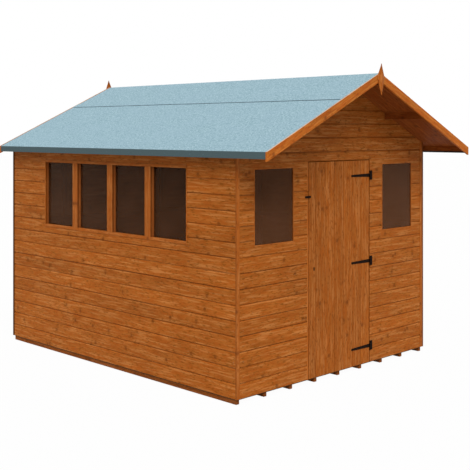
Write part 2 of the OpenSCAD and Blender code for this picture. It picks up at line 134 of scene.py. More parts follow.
def knot_pattern(tree, grain):
    """The knots and the wider swirls around them, both 1 in the middle and 0 outside."""
    cells = add(tree, "TexVoronoi", {"voronoi_dimensions": "2D"},
                {"Vector": grain, "Scale": 1 / KNOT_CELL})
    kept = add(tree, "Math", {"operation": "GREATER_THAN"},
               {0: cells.outputs["Color"], 1: KNOT_CHANCE}).outputs[0]
    found = []
    for inner, outer in (KNOT_EDGE, SWIRL_EDGE):
        near = add(tree, "MapRange", SMOOTH,
                   {0: cells.outputs["Distance"], 1: inner, 2: outer, 3: 1.0, 4: 0.0}).outputs[0]
        found.append(add(tree, "Math", TIMES, {0: near, 1: kept}).outputs[0])
    return found


print("a knot's heart is", round(2000 * KNOT_EDGE[0] * KNOT_CELL), "mm wide")

# %% [markdown]
# ### Growth rings
# A ring is the distance from the pith, counted in years. Slow noise bends it, knots push it
# aside, and a slight lean along the board makes the long flames of a flat-sawn face. Each year
# goes from pale early wood to a dark line of late wood. Growth rings of spruce are 2 to 4 mm
# apart, which is too fine to show at this distance, so they are drawn 11 mm apart.

# %% Draw the rings
RING = 0.011
BEND, PUSH, LEAN = 0.055, 0.016, 0.008  # metres that noise, a knot and a metre of board add
SLOW = (1.8, 9, 9)  # waves in a metre: 0.55 m long, and 0.11 m across


def ring_pattern(tree, grain, swirl):
    """Slow noise for clouds of tone, and the late wood, which is 1 at the end of each year."""
    stretched = add(tree, "VectorMath", TIMES, {0: grain, 1: SLOW}).outputs[0]
    slow = add(tree, "TexNoise", None,
               {"Vector": stretched, "Scale": 1.0, "Detail": 2.0}).outputs[0]
    across = add(tree, "VectorMath", TIMES, {0: grain, 1: (0, 1, 1)}).outputs[0]
    radius = add(tree, "VectorMath", {"operation": "LENGTH"}, {0: across}).outputs["Value"]
    along = add(tree, "SeparateXYZ", None, {0: grain}).outputs[0]
    for part, weight in ((slow, BEND), (swirl, PUSH), (along, LEAN)):
        radius = add(tree, "Math", TIMES_PLUS, {0: part, 1: weight, 2: radius}).outputs[0]
    years = add(tree, "Math", TIMES, {0: radius, 1: 1 / RING}).outputs[0]
    year = add(tree, "Math", {"operation": "FRACT"}, {0: years}).outputs[0]
    return slow, add(tree, "Math", {"operation": "POWER"}, {0: year, 1: 2.0}).outputs[0]


print("rings are drawn", 1000 * RING, "mm apart")

# %% [markdown]
# ### Streaks
# Between the rings the stain makes finer marks, all drawn out along the board: streaks where
# the wood drank more, pale lines of hard wood that drank less, and short dark dashes where the
# plane tore the fibres. Each is a noise that is squeezed across the board and stretched along
# it. The first number of each pair below is how often it changes in a metre along the board,
# and the second how often across: 9 and 44 give streaks 110 mm long and 23 mm wide.

# %% Draw marks along the grain
STREAKS, LINES, DASHES, SAW_MARKS = (9, 44), (4, 60), (26, 95), (240, 25)


def along_grain(tree, grain, per_metre, detail, roughness=0.5):
    """A noise that is stretched along the board."""
    along, across = per_metre
    stretched = add(tree, "VectorMath", TIMES, {0: grain, 1: (along, across, across)}).outputs[0]
    return add(tree, "TexNoise", None, {"Vector": stretched, "Scale": 1.0, "Detail": detail,
                                        "Roughness": roughness}).outputs[0]


def marks(tree, grain, per_metre, low, high, most, detail, roughness=0.5):
    """Only the tops of such a noise: nothing shows below low, and the most above high."""
    noise = along_grain(tree, grain, per_metre, detail, roughness)
    return add(tree, "MapRange", SMOOTH, {0: noise, 1: low, 2: high, 3: 0.0, 4: most}).outputs[0]


for kind, (along, across) in (("streaks", STREAKS), ("pale lines", LINES), ("dashes", DASHES)):
    print(f"{kind}: {1000 / along:.0f} mm long and {1000 / across:.0f} mm wide")

# %% [markdown]
# ### The wood's colour
# Five colours make a palette: pale, body, warm, dark and knot. They are laid over each other
# from the palest wood up to the knots and the stain that pooled. Last, the whole board is made
# lighter or darker by its tone and by slow clouds. Mixing named colours is easier to match to
# real boards than one colour ramp would be, because each colour is a thing that can be seen.
# The Mix node's two colours are its sockets 6 and 7, and its colour comes out of output 2.

# %% Mix the wood's colour
POOLED_AND_SHADE, SPOT, LATE, SWIRL = 0.72, 0.5, 0.36, 0.22  # how much of the darker colour each lays on
CLOUDS, TONES = 0.40, 0.16  # how far light and dark lie apart


def wood_colour(tree, grain, palette, knots, swirl, slow, late):
    """The colour of a board, and its streaks, which also shape its surface."""
    pale, body, warm, dark, knot = (linear(colour) for colour in palette.split())
    tone = add(tree, "Attribute", {"attribute_name": "tone"}).outputs["Fac"]
    soak_and_shade = add(tree, "Attribute", {"attribute_name": "soak_and_shade"}).outputs["Fac"]
    streaks = marks(tree, grain, STREAKS, 0.42, 0.58, 1.0, 3.0, 0.65)
    lines = marks(tree, grain, LINES, 0.50, 0.64, 0.62, 2.0)
    dashes = marks(tree, grain, DASHES, 0.55, 0.68, 0.6, 1.0)
    shade = add(tree, "Math", TIMES_PLUS, {0: late, 1: LATE, 2: dashes}).outputs[0]
    flow = add(tree, "Math", TIMES_PLUS, {0: swirl, 1: SWIRL, 2: shade}).outputs[0]
    spot = add(tree, "Math", TIMES, {0: knots, 1: SPOT}).outputs[0]
    # The knot colour is laid on by the soak: stain in joints and cut ends, and painted shade in
    # recesses and gaps.
    pooled_and_shaded = add(tree, "Math", TIMES, {0: soak_and_shade, 1: POOLED_AND_SHADE}).outputs[0]
    colour = add(tree, "Mix", COLOUR_MIX, {0: streaks, 6: body, 7: warm}).outputs[2]
    for share, upper in ((lines, pale), (flow, dark), (spot, knot), (pooled_and_shaded, knot)):
        colour = add(tree, "Mix", COLOUR_MIX, {0: share, 6: colour, 7: upper}).outputs[2]
    cloudy = add(tree, "Math", TIMES_PLUS, {0: slow, 1: -CLOUDS, 2: 1 + CLOUDS / 2}).outputs[0]
    value = add(tree, "Math", TIMES_PLUS, {0: tone, 1: TONES, 2: cloudy}).outputs[0]
    toned = add(tree, "HueSaturation", None, {"Value": value, "Color": colour}).outputs[0]
    return toned, streaks


print(f"pooled stain hides {POOLED_AND_SHADE:.0%} of the wood under it, and a knot {SPOT:.0%}")

# %% [markdown]
# ### The wood's surface
# Late wood is denser, so it planes smoother and stands a hair proud. A saw leaves marks across
# the board every few millimetres. Spruce has an IOR near 1.5, which a specular level of 0.5
# gives. But a dipped stain leaves the pores open and the surface matt, so the level is lower.

# %% Make the finish of stained softwood
MATT, POLISH = 0.08, 0.10  # the specular level, and how much smoother late wood is
RELIEF = 0.0006  # metres from the lowest to the highest wood


def stained_softwood(name, palette, roughness=0.62, sawn=0.0):
    """A material for boards. sawn is how strongly the marks of the saw show."""
    material, tree = new_material(name)
    grain = add(tree, "Attribute", {"attribute_name": "grain"}).outputs["Vector"]
    knots, swirl = knot_pattern(tree, grain)
    slow, late = ring_pattern(tree, grain, swirl)
    colour, streaks = wood_colour(tree, grain, palette, knots, swirl, slow, late)
    shine = add(tree, "Math", TIMES_PLUS,
                {0: late, 1: -POLISH, 2: roughness + POLISH / 2}).outputs[0]
    relief = add(tree, "Math", TIMES_PLUS, {0: streaks, 1: 0.5, 2: late}).outputs[0]
    saw = along_grain(tree, grain, SAW_MARKS, 2.0)
    height = add(tree, "Math", TIMES_PLUS, {0: saw, 1: sawn, 2: relief}).outputs[0]
    bump = add(tree, "Bump", None,
               {"Strength": 0.5, "Distance": RELIEF, "Height": height}).outputs[0]
    wood = add(tree, "BsdfPrincipled", None,
               {"Base Color": colour, "Roughness": shine, "Normal": bump,
                "Specular IOR Level": MATT})
    add(tree, "OutputMaterial", None, {"Surface": wood.outputs[0]})
    return material


# %% [markdown]
# ### The timber finishes
# Every timber comes out of the same dip, but it doesn't look the same everywhere. Battens and
# bargeboards are planed finer and take the stain brightly. Sawn frames and roof boards drink
# more of it. The floor has no stain at all, and the bearers are pressure-treated. So each has a
# palette of its own: pale, body, warm, dark and knot.

# %% Mix the timber finishes
cladding_finish = stained_softwood(
    "spruce planed and dip-stained", "bb783e a45c20 9e5115 7a4206 602a02")
door_finish = stained_softwood(
    "spruce matchboard planed and dip-stained", "b9743a a15b20 9f5214 793c06 5e2904")
trim_finish = stained_softwood(
    "spruce battens planed and dip-stained", "b8733a a55c22 a25418 884510 56290c")
barge_finish = stained_softwood(
    "spruce bargeboards planed and dip-stained", "c87d36 b46420 b0591a 8e4812 5e2c0c")
# A pale finish for the bargeboards' upward faces: a painted highlight.
barge_top_highlight = stained_softwood(
    "spruce top edges with painted highlight", "d6c8b8 c8b6a4 c2ae9a a8927e 6a4a34", 0.8)
# A dark finish for the rear corner strips: painted shade.
rear_strip_shade = stained_softwood(
    "spruce strips with painted shade", "6e401c 5a3412 562c0e 40200a 2a1406", 0.8)
frame_finish = stained_softwood(
    "spruce sawn and dip-stained", "9c5a2c 8a4c1c 844416 6e3810 47220a", 0.75, 1.5)
roof_finish = stained_softwood(
    "spruce roof boards planed and dip-stained", "94501f 824216 7c3a10 66300a 42200a")
floor_finish = stained_softwood(
    "spruce floor boards planed", "b98a5a a87846 a26e3c 8c5e33 4a2a12")
bearer_finish = stained_softwood(
    "pine bearers sawn and pressure-treated", "96562a 824618 7c4012 5e3010 3a1c0a", 0.8, 1.5)
print("timber finishes:", len(bpy.data.materials))

# %% [markdown]
# ## Mineral roofing felt
# Shed felt is a mat soaked with bitumen, with pale blue green mineral grit pressed into its
# top. The grit is 1 to 2 mm, so it is drawn as speckles 13 mm wide to show at this distance.
# Rain has washed it into drifts of about 0.2 m that are a little greyer. A fine noise gives the
# speckles and a slow one the drifts. Both are solid patterns in the sheet's own coordinates,
# so they don't stretch anywhere, not even over the folds.

# %% Press the grit into the felt
GRIT, DRIFTS = 75.0, 5.0  # in a metre
felt_finish, tree = new_material("mineral felt pressed with slate grit")
place = add(tree, "TexCoord").outputs["Object"]
grit = add(tree, "TexNoise", None,
           {"Vector": place, "Scale": GRIT, "Detail": 3.0, "Roughness": 0.75}).outputs[0]
patches = add(tree, "TexNoise", None, {"Vector": place, "Scale": DRIFTS, "Detail": 2.0}).outputs[0]
speckle = add(tree, "MapRange", None, {0: grit, 1: 0.34, 2: 0.66, 3: 0.0, 4: 1.0}).outputs[0]
felt_colour = add(tree, "Mix", COLOUR_MIX,
                  {0: speckle, 6: linear("6c8b96"), 7: linear("a8c2ca")}).outputs[2]
drift = add(tree, "MapRange", None, {0: patches, 1: 0.3, 2: 0.7, 3: 0.0, 4: 0.35}).outputs[0]
print("felt speckle in mm:", round(1000 / GRIT, 1))

# %% [markdown]
# Where the sheet is folded down over the eaves, faces that stand upright are darker: partly
# because grit drops off along the bend and the dark bitumen shows, and partly as painted shade
# on faces that turn away from the sky. The sheet's back has no grit: it is bare bitumen, seen
# inside the folds and from below. A face's own normal tells which is which, so nothing has to be
# painted by hand: it points up on the slopes, sideways on the folds, and down or towards the
# middle of the roof on the back. Grit scatters light evenly, so the felt has almost no gloss.

# %% Darken the folds of the felt and bare its back
facing = add(tree, "SeparateXYZ", None, {0: add(tree, "NewGeometry").outputs["Normal"]})
# Upright faces darken: worn grit, and painted shade away from the sky.
upright = add(tree, "MapRange", SMOOTH,
              {0: facing.outputs[2], 1: 0.25, 2: 0.75, 3: 0.95, 4: 0.0}).outputs[0]
side_of_roof = add(tree, "SeparateXYZ", None, {0: place}).outputs[0]
outwards = add(tree, "Math", TIMES, {0: facing.outputs[0], 1: side_of_roof}).outputs[0]
outwards = add(tree, "Math", {"operation": "ADD"}, {0: outwards, 1: facing.outputs[2]}).outputs[0]
back = add(tree, "MapRange", None, {0: outwards, 1: -0.3, 2: -0.1, 3: 1.0, 4: 0.0}).outputs[0]
for share, upper in ((drift, "92acb8"), (upright, "445254"), (back, "352c29")):
    felt_colour = add(tree, "Mix", COLOUR_MIX,
                      {0: share, 6: felt_colour, 7: linear(upper)}).outputs[2]
felt_bump = add(tree, "Bump", None,
                {"Strength": 0.5, "Distance": 0.0012, "Height": grit}).outputs[0]
felt = add(tree, "BsdfPrincipled", None,
           {"Base Color": felt_colour, "Roughness": 0.95, "Normal": felt_bump,
            "Specular IOR Level": 0.1})
add(tree, "OutputMaterial", None, {"Surface": felt.outputs[0]})
print("nodes in the felt:", len(tree.nodes))

# %% [markdown]
# ## Bitumen
# Where one sheet of felt laps over another, cold bitumen glues the joint and a little squeezes
# out as a dark bead. Its surface sagged as it set, which slow noise gives to the bump, and dust
# has dulled it. The clout heads on the felt are dabbed with it too.

# %% Make the finish of the bitumen
SAG = 60.0  # waves in a metre
bitumen_finish, tree = new_material("bitumen squeezed from the lap")
place = add(tree, "TexCoord").outputs["Object"]
sag = add(tree, "TexNoise", None, {"Vector": place, "Scale": SAG, "Detail": 2.0}).outputs[0]
dusted = add(tree, "Mix", COLOUR_MIX,
             {0: sag, 6: linear("33444b"), 7: linear("587079")}).outputs[2]
sag_bump = add(tree, "Bump", None,
               {"Strength": 0.6, "Distance": 0.001, "Height": sag}).outputs[0]
bitumen = add(tree, "BsdfPrincipled", None,
              {"Base Color": dusted, "Roughness": 0.7, "Normal": sag_bump,
               "Specular IOR Level": 0.2})
add(tree, "OutputMaterial", None, {"Surface": bitumen.outputs[0]})
print("bitumen sags in mm:", round(1000 / SAG, 1))

# %% [markdown]
# ## Black japanned steel
# The hinges, turn button and keyhole plates are pressed steel under a baked black lacquer. The
# lacquer pools a little, so its gloss varies, and dust dulls the flat parts. Lacquer hides the
# metal, so the shader isn't metallic: it is a near black with a faint sheen.

# %% Make the finish of the ironmongery
POOLS = 70.0  # in a metre
black_finish, tree = new_material("steel pressed and japanned black")
place = add(tree, "TexCoord").outputs["Object"]
pools = add(tree, "TexNoise", None, {"Vector": place, "Scale": POOLS, "Detail": 3.0}).outputs[0]
lacquer = add(tree, "Mix", COLOUR_MIX,
              {0: pools, 6: linear("0c0603"), 7: linear("1e0f07")}).outputs[2]
gloss = add(tree, "MapRange", None, {0: pools, 1: 0.3, 2: 0.7, 3: 0.35, 4: 0.6}).outputs[0]
pool_bump = add(tree, "Bump", None,
                {"Strength": 0.3, "Distance": 0.0004, "Height": pools}).outputs[0]
steel = add(tree, "BsdfPrincipled", None,
            {"Base Color": lacquer, "Roughness": gloss, "Normal": pool_bump,
             "Specular IOR Level": 0.03})
add(tree, "OutputMaterial", None, {"Surface": steel.outputs[0]})
print("pools of lacquer in mm:", round(1000 / POOLS, 1))

# %% [markdown]
# ## Galvanised steel
# The cladding's nails are dipped in zinc, which cools into dull grey crystals a few millimetres
# across, and the stain has left them brownish. They are metal, so the shader keeps the default
# IOR and takes its colour from the base colour alone.

# %% Make the finish of the nails
SPANGLE = 350.0  # crystals in a metre
zinc_finish, tree = new_material("steel nails galvanised")
place = add(tree, "TexCoord").outputs["Object"]
spangle = add(tree, "TexVoronoi", None, {"Vector": place, "Scale": SPANGLE}).outputs["Color"]
zinc_colour = add(tree, "Mix", COLOUR_MIX,
                  {0: spangle, 6: linear("7a624e"), 7: linear("a88c74")}).outputs[2]
zinc_gloss = add(tree, "MapRange", None, {0: spangle, 1: 0.0, 2: 1.0, 3: 0.45, 4: 0.65}).outputs[0]
zinc = add(tree, "BsdfPrincipled", None,
           {"Base Color": zinc_colour, "Roughness": zinc_gloss, "Metallic": 1.0})
add(tree, "OutputMaterial", None, {"Surface": zinc.outputs[0]})
print("zinc crystals in mm:", round(1000 / SPANGLE, 1))

# %% [markdown]
# ## Window glass
# The panes are clear 4 mm float glass with a dark shed behind them. Light has to reach the
# inside, and a physically exact glass would hold back the lamps' light and make noise. This
# pane mixes a clear shader with a mirror instead, by the Fresnel curve that makes glass mirror
# more at a glancing angle.
#
# A film of brown wood dust lies on the inside, and it is what makes the panes look brown. It is
# smeared in patches of about 140 mm, and it has settled more thickly towards the bottom. The
# front panes get a thicker film that lightens them: painted light against the shade of the
# roof's overhang.

# %% Dust the panes
SMEARS = 7.0  # in a metre
DUST_LOW, DUST_HIGH = 1.25, 1.65  # heights between which the dust thins out
FRONT_Y, BEHIND_FRONT = -1.5, -1.3  # the front panes lie before the first, the others behind
glass_finish, tree = new_material("float glass clear under wood dust")
place = add(tree, "TexCoord").outputs["Object"]
spot = add(tree, "SeparateXYZ", None, {0: place})
smears = add(tree, "TexNoise", None,
             {"Vector": place, "Scale": SMEARS, "Detail": 3.0}).outputs[0]
settled = add(tree, "MapRange", SMOOTH,
              {0: spot.outputs[2], 1: DUST_LOW, 2: DUST_HIGH, 3: 0.07, 4: 0.03}).outputs[0]
# A thicker film on the front panes: painted light in the overhang's shade.
front_film_light = add(tree, "MapRange", None,
              {0: spot.outputs[1], 1: FRONT_Y, 2: BEHIND_FRONT, 3: 0.10, 4: 0.0}).outputs[0]
smeared = add(tree, "Math", TIMES_PLUS, {0: smears, 1: 0.10, 2: settled}).outputs[0]
film = add(tree, "Math", {"operation": "ADD"}, {0: smeared, 1: front_film_light}).outputs[0]
dust = add(tree, "Mix", COLOUR_MIX,
           {0: smears, 6: linear("8c5830"), 7: linear("966448")}).outputs[2]
print("smears in mm:", round(1000 / SMEARS))

# %% [markdown]
# The dust scatters a little light, like paint, and hides a little of what is behind the pane.
# Two faces of clean glass mirror a few per cent of the light, and a dusty pane much less, so
# the IOR of the mirror's curve is matched lower than the 1.5 of glass. The glass has a faint
# tint of its own, and dust makes the mirror a little rough.

# %% Make the finish of the panes
PANE_IOR = 1.10
film_gloss = add(tree, "MapRange", None, {0: smears, 1: 0.35, 2: 0.7, 3: 0.02, 4: 0.12}).outputs[0]
mirror_share = add(tree, "Fresnel", None, {"IOR": PANE_IOR}).outputs[0]
clear = add(tree, "BsdfTransparent", None, {"Color": linear("d6cfc4")}).outputs[0]
mirror = add(tree, "BsdfGlossy", None,
             {"Color": linear("e6e2dc"), "Roughness": film_gloss}).outputs[0]
dusty = add(tree, "BsdfDiffuse", None, {"Color": dust}).outputs[0]
behind = add(tree, "MixShader", None, {0: film, 1: clear, 2: dusty}).outputs[0]
pane = add(tree, "MixShader", None, {0: mirror_share, 1: behind, 2: mirror}).outputs[0]
add(tree, "OutputMaterial", None, {"Surface": pane})
print("materials:", len(bpy.data.materials))

# %% [markdown]
# ## Where everything is
# Sizes and places come from the frame's own nodes, so the looks can't drift away from the
# solids. These few planes and heights are used again and again below.

# %% Read the places from the frame
def levels(node, axis):
    """The different coordinates that a node's corners have along one axis."""
    return sorted({round(v.co[axis], 4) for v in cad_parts[node].data.vertices})


wall_low, wall_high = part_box("left_wall_lower")
front_low, front_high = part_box("front_wall_lower")
strip_low, strip_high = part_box("front_corner_strips")
face_x, face_y = -wall_low.x, -front_low.y
out_x, out_y = strip_high.x, -strip_low.y
floor_z, sill_z = wall_low.z, wall_high.z
head_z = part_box("left_window_posts")[1].z
clad_t = wall_high.x - wall_low.x
proud = out_x - face_x
ridge_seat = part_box("ridge_beam")[1].z
slope = (ridge_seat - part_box("right_wall")[1].z) / (face_x - clad_t)
pitch = math.atan(slope)
doorway_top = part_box("door_stops")[1].z
doorway_half = min(x for x in levels("front_wall_lower", 0) if x > 0)
print("walls", round(2 * face_x, 3), "by", round(2 * face_y, 3), "m")
print("roof pitch in degrees:", round(math.degrees(pitch), 2))
print("doorway", round(2 * doorway_half, 3), "m wide,", round(doorway_top - floor_z, 3), "m high")


def roof_half(z):
    """How far from the middle the underside of the roof boards is, at height z."""
    return (ridge_seat - z) / slope


# %% [markdown]
# ## From a mesh to a piece
# Every piece below ends in the same way. Its mesh gets its materials and an object, it rides on
# the body that carries it, and it may stand for some of the frame's nodes. One function does all
# of that, so no piece can miss a step. Where a board lay in its log is drawn at random too, and
# two ways of making boards share that draw: the pith is 25 to 80 mm behind or before the face,
# and up to 50 mm aside.


# %% Settle a mesh, and draw a board's place in its log
def settle(mesh, name, materials, nodes, body, note=""):
    """Gives a finished mesh its object, materials, body and the CAD nodes it stands for."""
    for material in materials:
        mesh.materials.append(material)
    piece = bpy.data.objects.new(name, mesh)
    bpy.context.scene.collection.objects.link(piece)
    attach(piece, body)
    if nodes:
        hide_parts(*nodes)
    print(f"{name}: {len(mesh.polygons)} faces {note}")
    return piece


def log_and_tone(draw):
    """Where a board lay in its log, and how light or dark it is."""
    side = draw.choice((-1, 1))
    along, aside = draw.uniform(0, 40), draw.uniform(-0.05, 0.05)
    return Vector((along, aside, side * draw.uniform(0.025, 0.08))), draw.uniform(-0.5, 0.5)


# %% [markdown]
# ## Building boards one by one
# A board is a profile pushed along a line, which is what a planing mill does. The profile is a
# list of points: across the board, depth behind its face, and soak. A place function says
# where (along, across, depth) lies on the shed. The ends may depend on the point, so a board
# can be cut to a slope or a mitre. Making boards this way keeps each one separate, with its
# own grain and tone, which is why the joints between boards look real: the figure of the wood
# stops at each one. The end caps have corners of their own, so that only they are dark.


# %% Extrude one board with its own grain
class Boards:
    """Collects boards into one mesh. Each starts with fresh(), which draws its grain and tone."""

    def __init__(self, name, seed):
        self.name, self.random, self.bm = name, random.Random(seed), bmesh.new()
        self.grain = self.bm.verts.layers.float_vector.new("grain")
        self.tone = self.bm.verts.layers.float.new("tone")
        self.soak_and_shade = self.bm.verts.layers.float.new("soak_and_shade")
        self.count = 0

    def fresh(self, darker=0.0):
        """A new board. darker is how much darker its tone is made: painted shade under the eaves.
        """
        self.shift, tone = log_and_tone(self.random)
        self.board_tone = tone - darker
        self.count += 1

    def corner(self, place, log, soak_and_shade):
        """One vertex: its place on the shed, its place in the board, and its soak."""
        vert = self.bm.verts.new(place)
        vert[self.grain] = Vector(log) + self.shift
        vert[self.tone] = self.board_tone
        vert[self.soak_and_shade] = soak_and_shade
        return vert

    def prism(self, outline, ends, place, middle=0.0):
        """One length of profile. ends(across, depth) gives where it starts and stops."""
        sides, caps = ([], []), ([], [])
        for s, d, *soak_and_shade in outline:
            for end, a in enumerate(ends(s, d)):
                spot, log = place(a, s, d), (a, s - middle, d)
                sides[end].append(self.corner(spot, log, soak_and_shade[0] if soak_and_shade else 0.0))
                caps[end].append(self.corner(spot, log, 1.0))
        first, last = sides
        pairs = list(enumerate([*range(1, len(outline)), 0]))
        faces = [(first[i], first[j], last[j], last[i]) for i, j in pairs]
        faces += [caps[0][::-1], caps[1]]
        centre = sum((v.co for v in first + last), Vector()) / (2 * len(outline))
        turn = sum(((first[i].co - centre).cross(first[j].co - centre) for i, j in pairs), Vector())
        if turn.dot(last[0].co - first[0].co) > 0:  # the outline ran the other way round
            faces = [tuple(face)[::-1] for face in faces]
        for face in faces:
            self.bm.faces.new(face)

    def finish(self, material, slot, *nodes, body="shell"):
        """The object, riding on its body and standing for the CAD nodes it replaces."""
        mesh = bpy.data.meshes.new(self.name)
        self.bm.to_mesh(mesh)
        self.bm.free()
        return settle(mesh, self.name, [material], nodes, body, f"{self.count} boards")


# %% [markdown]
# ## Shiplap
# A shiplap board has a square lip along its lower edge, a flat face, and a hollow along its
# upper edge, cut by a round cutter. The lip of the board above stands over the hollow and
# throws the dark line that marks each course, and the foot of the hollow catches the light.
# Behind, a tongue and a rebate overlap so that rain can't get through. A course is 117.6 mm.
# Each point of the section is its height, its depth behind the face, and its soak. The soak in
# the hollow and on the lip's lower edge is partly stain gathered there and partly painted shade
# under the lip.

# %% Draw the shiplap profile
COURSE = 0.1176


def shiplap(h, hollow=True):
    """The section of a board h high, from its lower lip. Without a hollow its top is square."""
    lip = [(0.0, 0.0010, 0.3), (0.0010, 0.0, 0.0)]
    rebate = [(0.0076, clad_t, 0.0), (0.0076, 0.0052, 1.0), (0.0, 0.0050, 1.0)]
    if hollow:
        top = [(h - 0.0160, 0.0, 0.0), (h - 0.0125, 0.0026, 0.0), (h - 0.0085, 0.0043, 0.7),
               (h - 0.0050, 0.0050, 1.0), (h + 0.0005, 0.0052, 1.0), (h + 0.0068, 0.0052, 1.0),
               (h + 0.0068, clad_t, 0.0)]
    else:
        top = [(h - 0.0015, 0.0, 0.0), (h - 0.0003, 0.0012, 0.8), (h - 0.0003, clad_t, 0.0)]
    return lip + top + rebate


def clipped(outline, low, high):
    """The part of a section between two heights."""
    for limit, sign in ((low, 1), (high, -1)):
        kept = []
        for a, b in zip(outline, outline[1:] + outline[:1]):
            inside_a, inside_b = sign * (a[0] - limit) >= 0, sign * (b[0] - limit) >= 0
            if inside_a:
                kept.append(a)
            if inside_a != inside_b:
                t = (limit - a[0]) / (b[0] - a[0])  # the share of the way from a to b
                kept.append((limit, a[1] + t * (b[1] - a[1]), a[2] + t * (b[2] - a[2])))
        outline = kept
    return outline


print("shiplap section points:", len(shiplap(COURSE)))

# %% [markdown]
# ## Cladding a wall
# A wall is covered course by course from the floor up. Where a course meets a window or the
# doorway it is split at the opening's edges, and each part is cut to length. Under a gable the
# ends follow the slope of the roof. Splitting the profile itself keeps every cut exact, where
# boolean cuts on hundreds of boards would be slow and could leave slivers. Above the fifteenth
# course come the gables and the boards under the eaves, which are made a little darker: painted
# shade from the overhang of the roof.


# %% Cover one wall with courses
PANEL_JOINT = floor_z + 15 * COURSE
UPPER_PAINTED_SHADE = 0.4
SLIVER, LEAST_CUT = 0.002, 0.004  # nothing thinner is split off, or laid as a last course


def clad(boards, place, courses, reach, openings=(), knees=()):
    """courses lists (height, section). reach(z) gives the wall's two ends at height z, and
    knees are heights where they bend. An opening is (start, stop, low, high)."""
    splits = sorted({level for o in openings for level in o[2:]} | set(knees))
    for z, section in courses:
        # How dark this course's hollow is, drawn for each course: gathered stain and painted shade
        # under the lip.
        pooled_and_shaded = boards.random.uniform(0.2, 0.9)
        section = [(z + s, d, soak_and_shade * pooled_and_shaded) for s, d, soak_and_shade in section]
        low, high = min(p[0] for p in section), max(p[0] for p in section)
        cuts = [low, *(c for c in splits if low + SLIVER < c < high - SLIVER), high]
        boards.fresh(UPPER_PAINTED_SHADE if z > PANEL_JOINT - SLIVER else 0.0)
        for bottom, top in zip(cuts, cuts[1:]):
            part = clipped(section, bottom, top)
            gaps = sorted(o for o in openings if o[2] < (bottom + top) / 2 < o[3])
            edges = [None, *(edge for o in gaps for edge in o[:2]), None]
            for start, stop in zip(edges[::2], edges[1::2]):
                def ends(s, d, start=start, stop=stop):
                    """The opening's edges, or the wall's own ends at that height."""
                    first, last = reach(s)
                    return (first if start is None else start, last if stop is None else stop)

                boards.prism(part, ends, place, (low + high) / 2)


print("the upper boards start", round(1000 * (PANEL_JOINT - floor_z)), "mm above the floor")

# %% [markdown]
# A panel's courses are stacked as the joiner lays them: full boards from the bottom up, and
# the last one ripped down to the height that is left. Where another panel stands on top, that
# last board has a square top edge instead of a hollow.


# %% Stack the courses of a panel
def stack(start, stop, flat_top=False):
    """Full courses from one height to another, the last one cut down to fit."""
    courses, z = [], start
    while z < stop - LEAST_CUT:
        last = z + COURSE > stop - LEAST_CUT
        section = shiplap(COURSE, hollow=not (last and flat_top))
        courses.append((z, clipped(section, -1, stop - z) if last else section))
        z += COURSE
    return courses


print("courses below the joint:", len(stack(floor_z, PANEL_JOINT)))

# %% [markdown]
# ## The side walls
# A side wall has fifteen courses and one plain board under the eaves, which ends 2 mm below the
# roof boards. The left wall has a row of four windows right under the eaves, so its courses
# stop at the sill along the whole row, and a plain board closes the wall above the windows.
# Where a window starts and stops is read from the posts' solids and from the panes' box.

# %% Clad the left wall, around its four windows
panes_low, panes_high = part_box("left_window_panes")
bank = (panes_low.y, panes_high.y)
posts = levels("left_window_posts", 1)
edges_y = [bank[0], *posts, bank[1]]
left_windows = list(zip(edges_y[::2], edges_y[1::2]))
print("left windows:", [(round(a, 3), round(b, 3)) for a, b in left_windows])
ROOF_GAP = 0.002
side_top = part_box("left_wall_upper")[1].z - clad_t * slope - ROOF_GAP


def side_courses():
    """Fifteen courses and a plain board under the eaves."""
    h = side_top - PANEL_JOINT
    plain = [(0.0, 0.0, 0.0), (h, 0.0, 0.0), (h, clad_t, 0.0), (0.0, clad_t, 0.0)]
    return [*stack(floor_z, PANEL_JOINT, flat_top=True), (PANEL_JOINT, plain)]


def on_left(a, s, d):
    """A point a along the left wall, at height s, and d behind its face."""
    return Vector((-face_x + d, a, s))


def side_reach(z):
    """A side wall is as long at every height."""
    return (wall_low.y, wall_high.y)


left_boards = Boards("left_shiplap", 11)
clad(left_boards, on_left, side_courses(), side_reach, [(*bank, sill_z, side_top + 1)])
# The plain board over the windows takes the same painted shade.
left_boards.fresh(UPPER_PAINTED_SHADE)
left_boards.prism([(head_z, 0.0), (side_top, 0.0), (side_top, clad_t), (head_z, clad_t)],
                  lambda s, d: bank, on_left, (head_z + side_top) / 2)
left_boards.finish(cladding_finish, "cladding_wood",
                   "left_wall_lower", "left_wall_piers", "left_wall_upper")

# %% [markdown]
# The right wall has no opening. Its courses are the same ones, seen from the other side, with
# another seed, so that no board repeats one of the left wall's.

# %% Clad the right wall
right_boards = Boards("right_shiplap", 12)
clad(right_boards, lambda a, s, d: Vector((face_x - d, a, s)), side_courses(), side_reach)
right_boards.finish(cladding_finish, "cladding_wood", "right_wall")

# %% [markdown]
# ## The front and back walls
# The front and back are each made as two panels. The upper panel's first course is ripped down
# to 78 mm where the panels meet, so its courses don't line up with those of the side walls.
# Under the roof each course is cut to the slope, and the last one ends 6 mm below the ridge.

# %% Clad the front wall and its gable, around the doorway and two windows
GABLE_FIRST, PEAK_GAP, TIP = 0.078, 0.006, 0.001
gable_top = ridge_seat - PEAK_GAP


def gable_reach(x0, x1):
    """Ends at x0 and x1 below, and under the roof's slope above."""
    def reach(z):
        """The slope narrows to a tip, which keeps a millimetre to each side."""
        half = max(roof_half(z), TIP)
        return (max(x0, -half), min(x1, half))

    return reach


def panels():
    """The courses of a wall panel with its gable panel on top."""
    lower = stack(floor_z, PANEL_JOINT, flat_top=True)
    upper = stack(PANEL_JOINT + GABLE_FIRST, gable_top)
    return [*lower, (PANEL_JOINT, shiplap(GABLE_FIRST)), *upper]


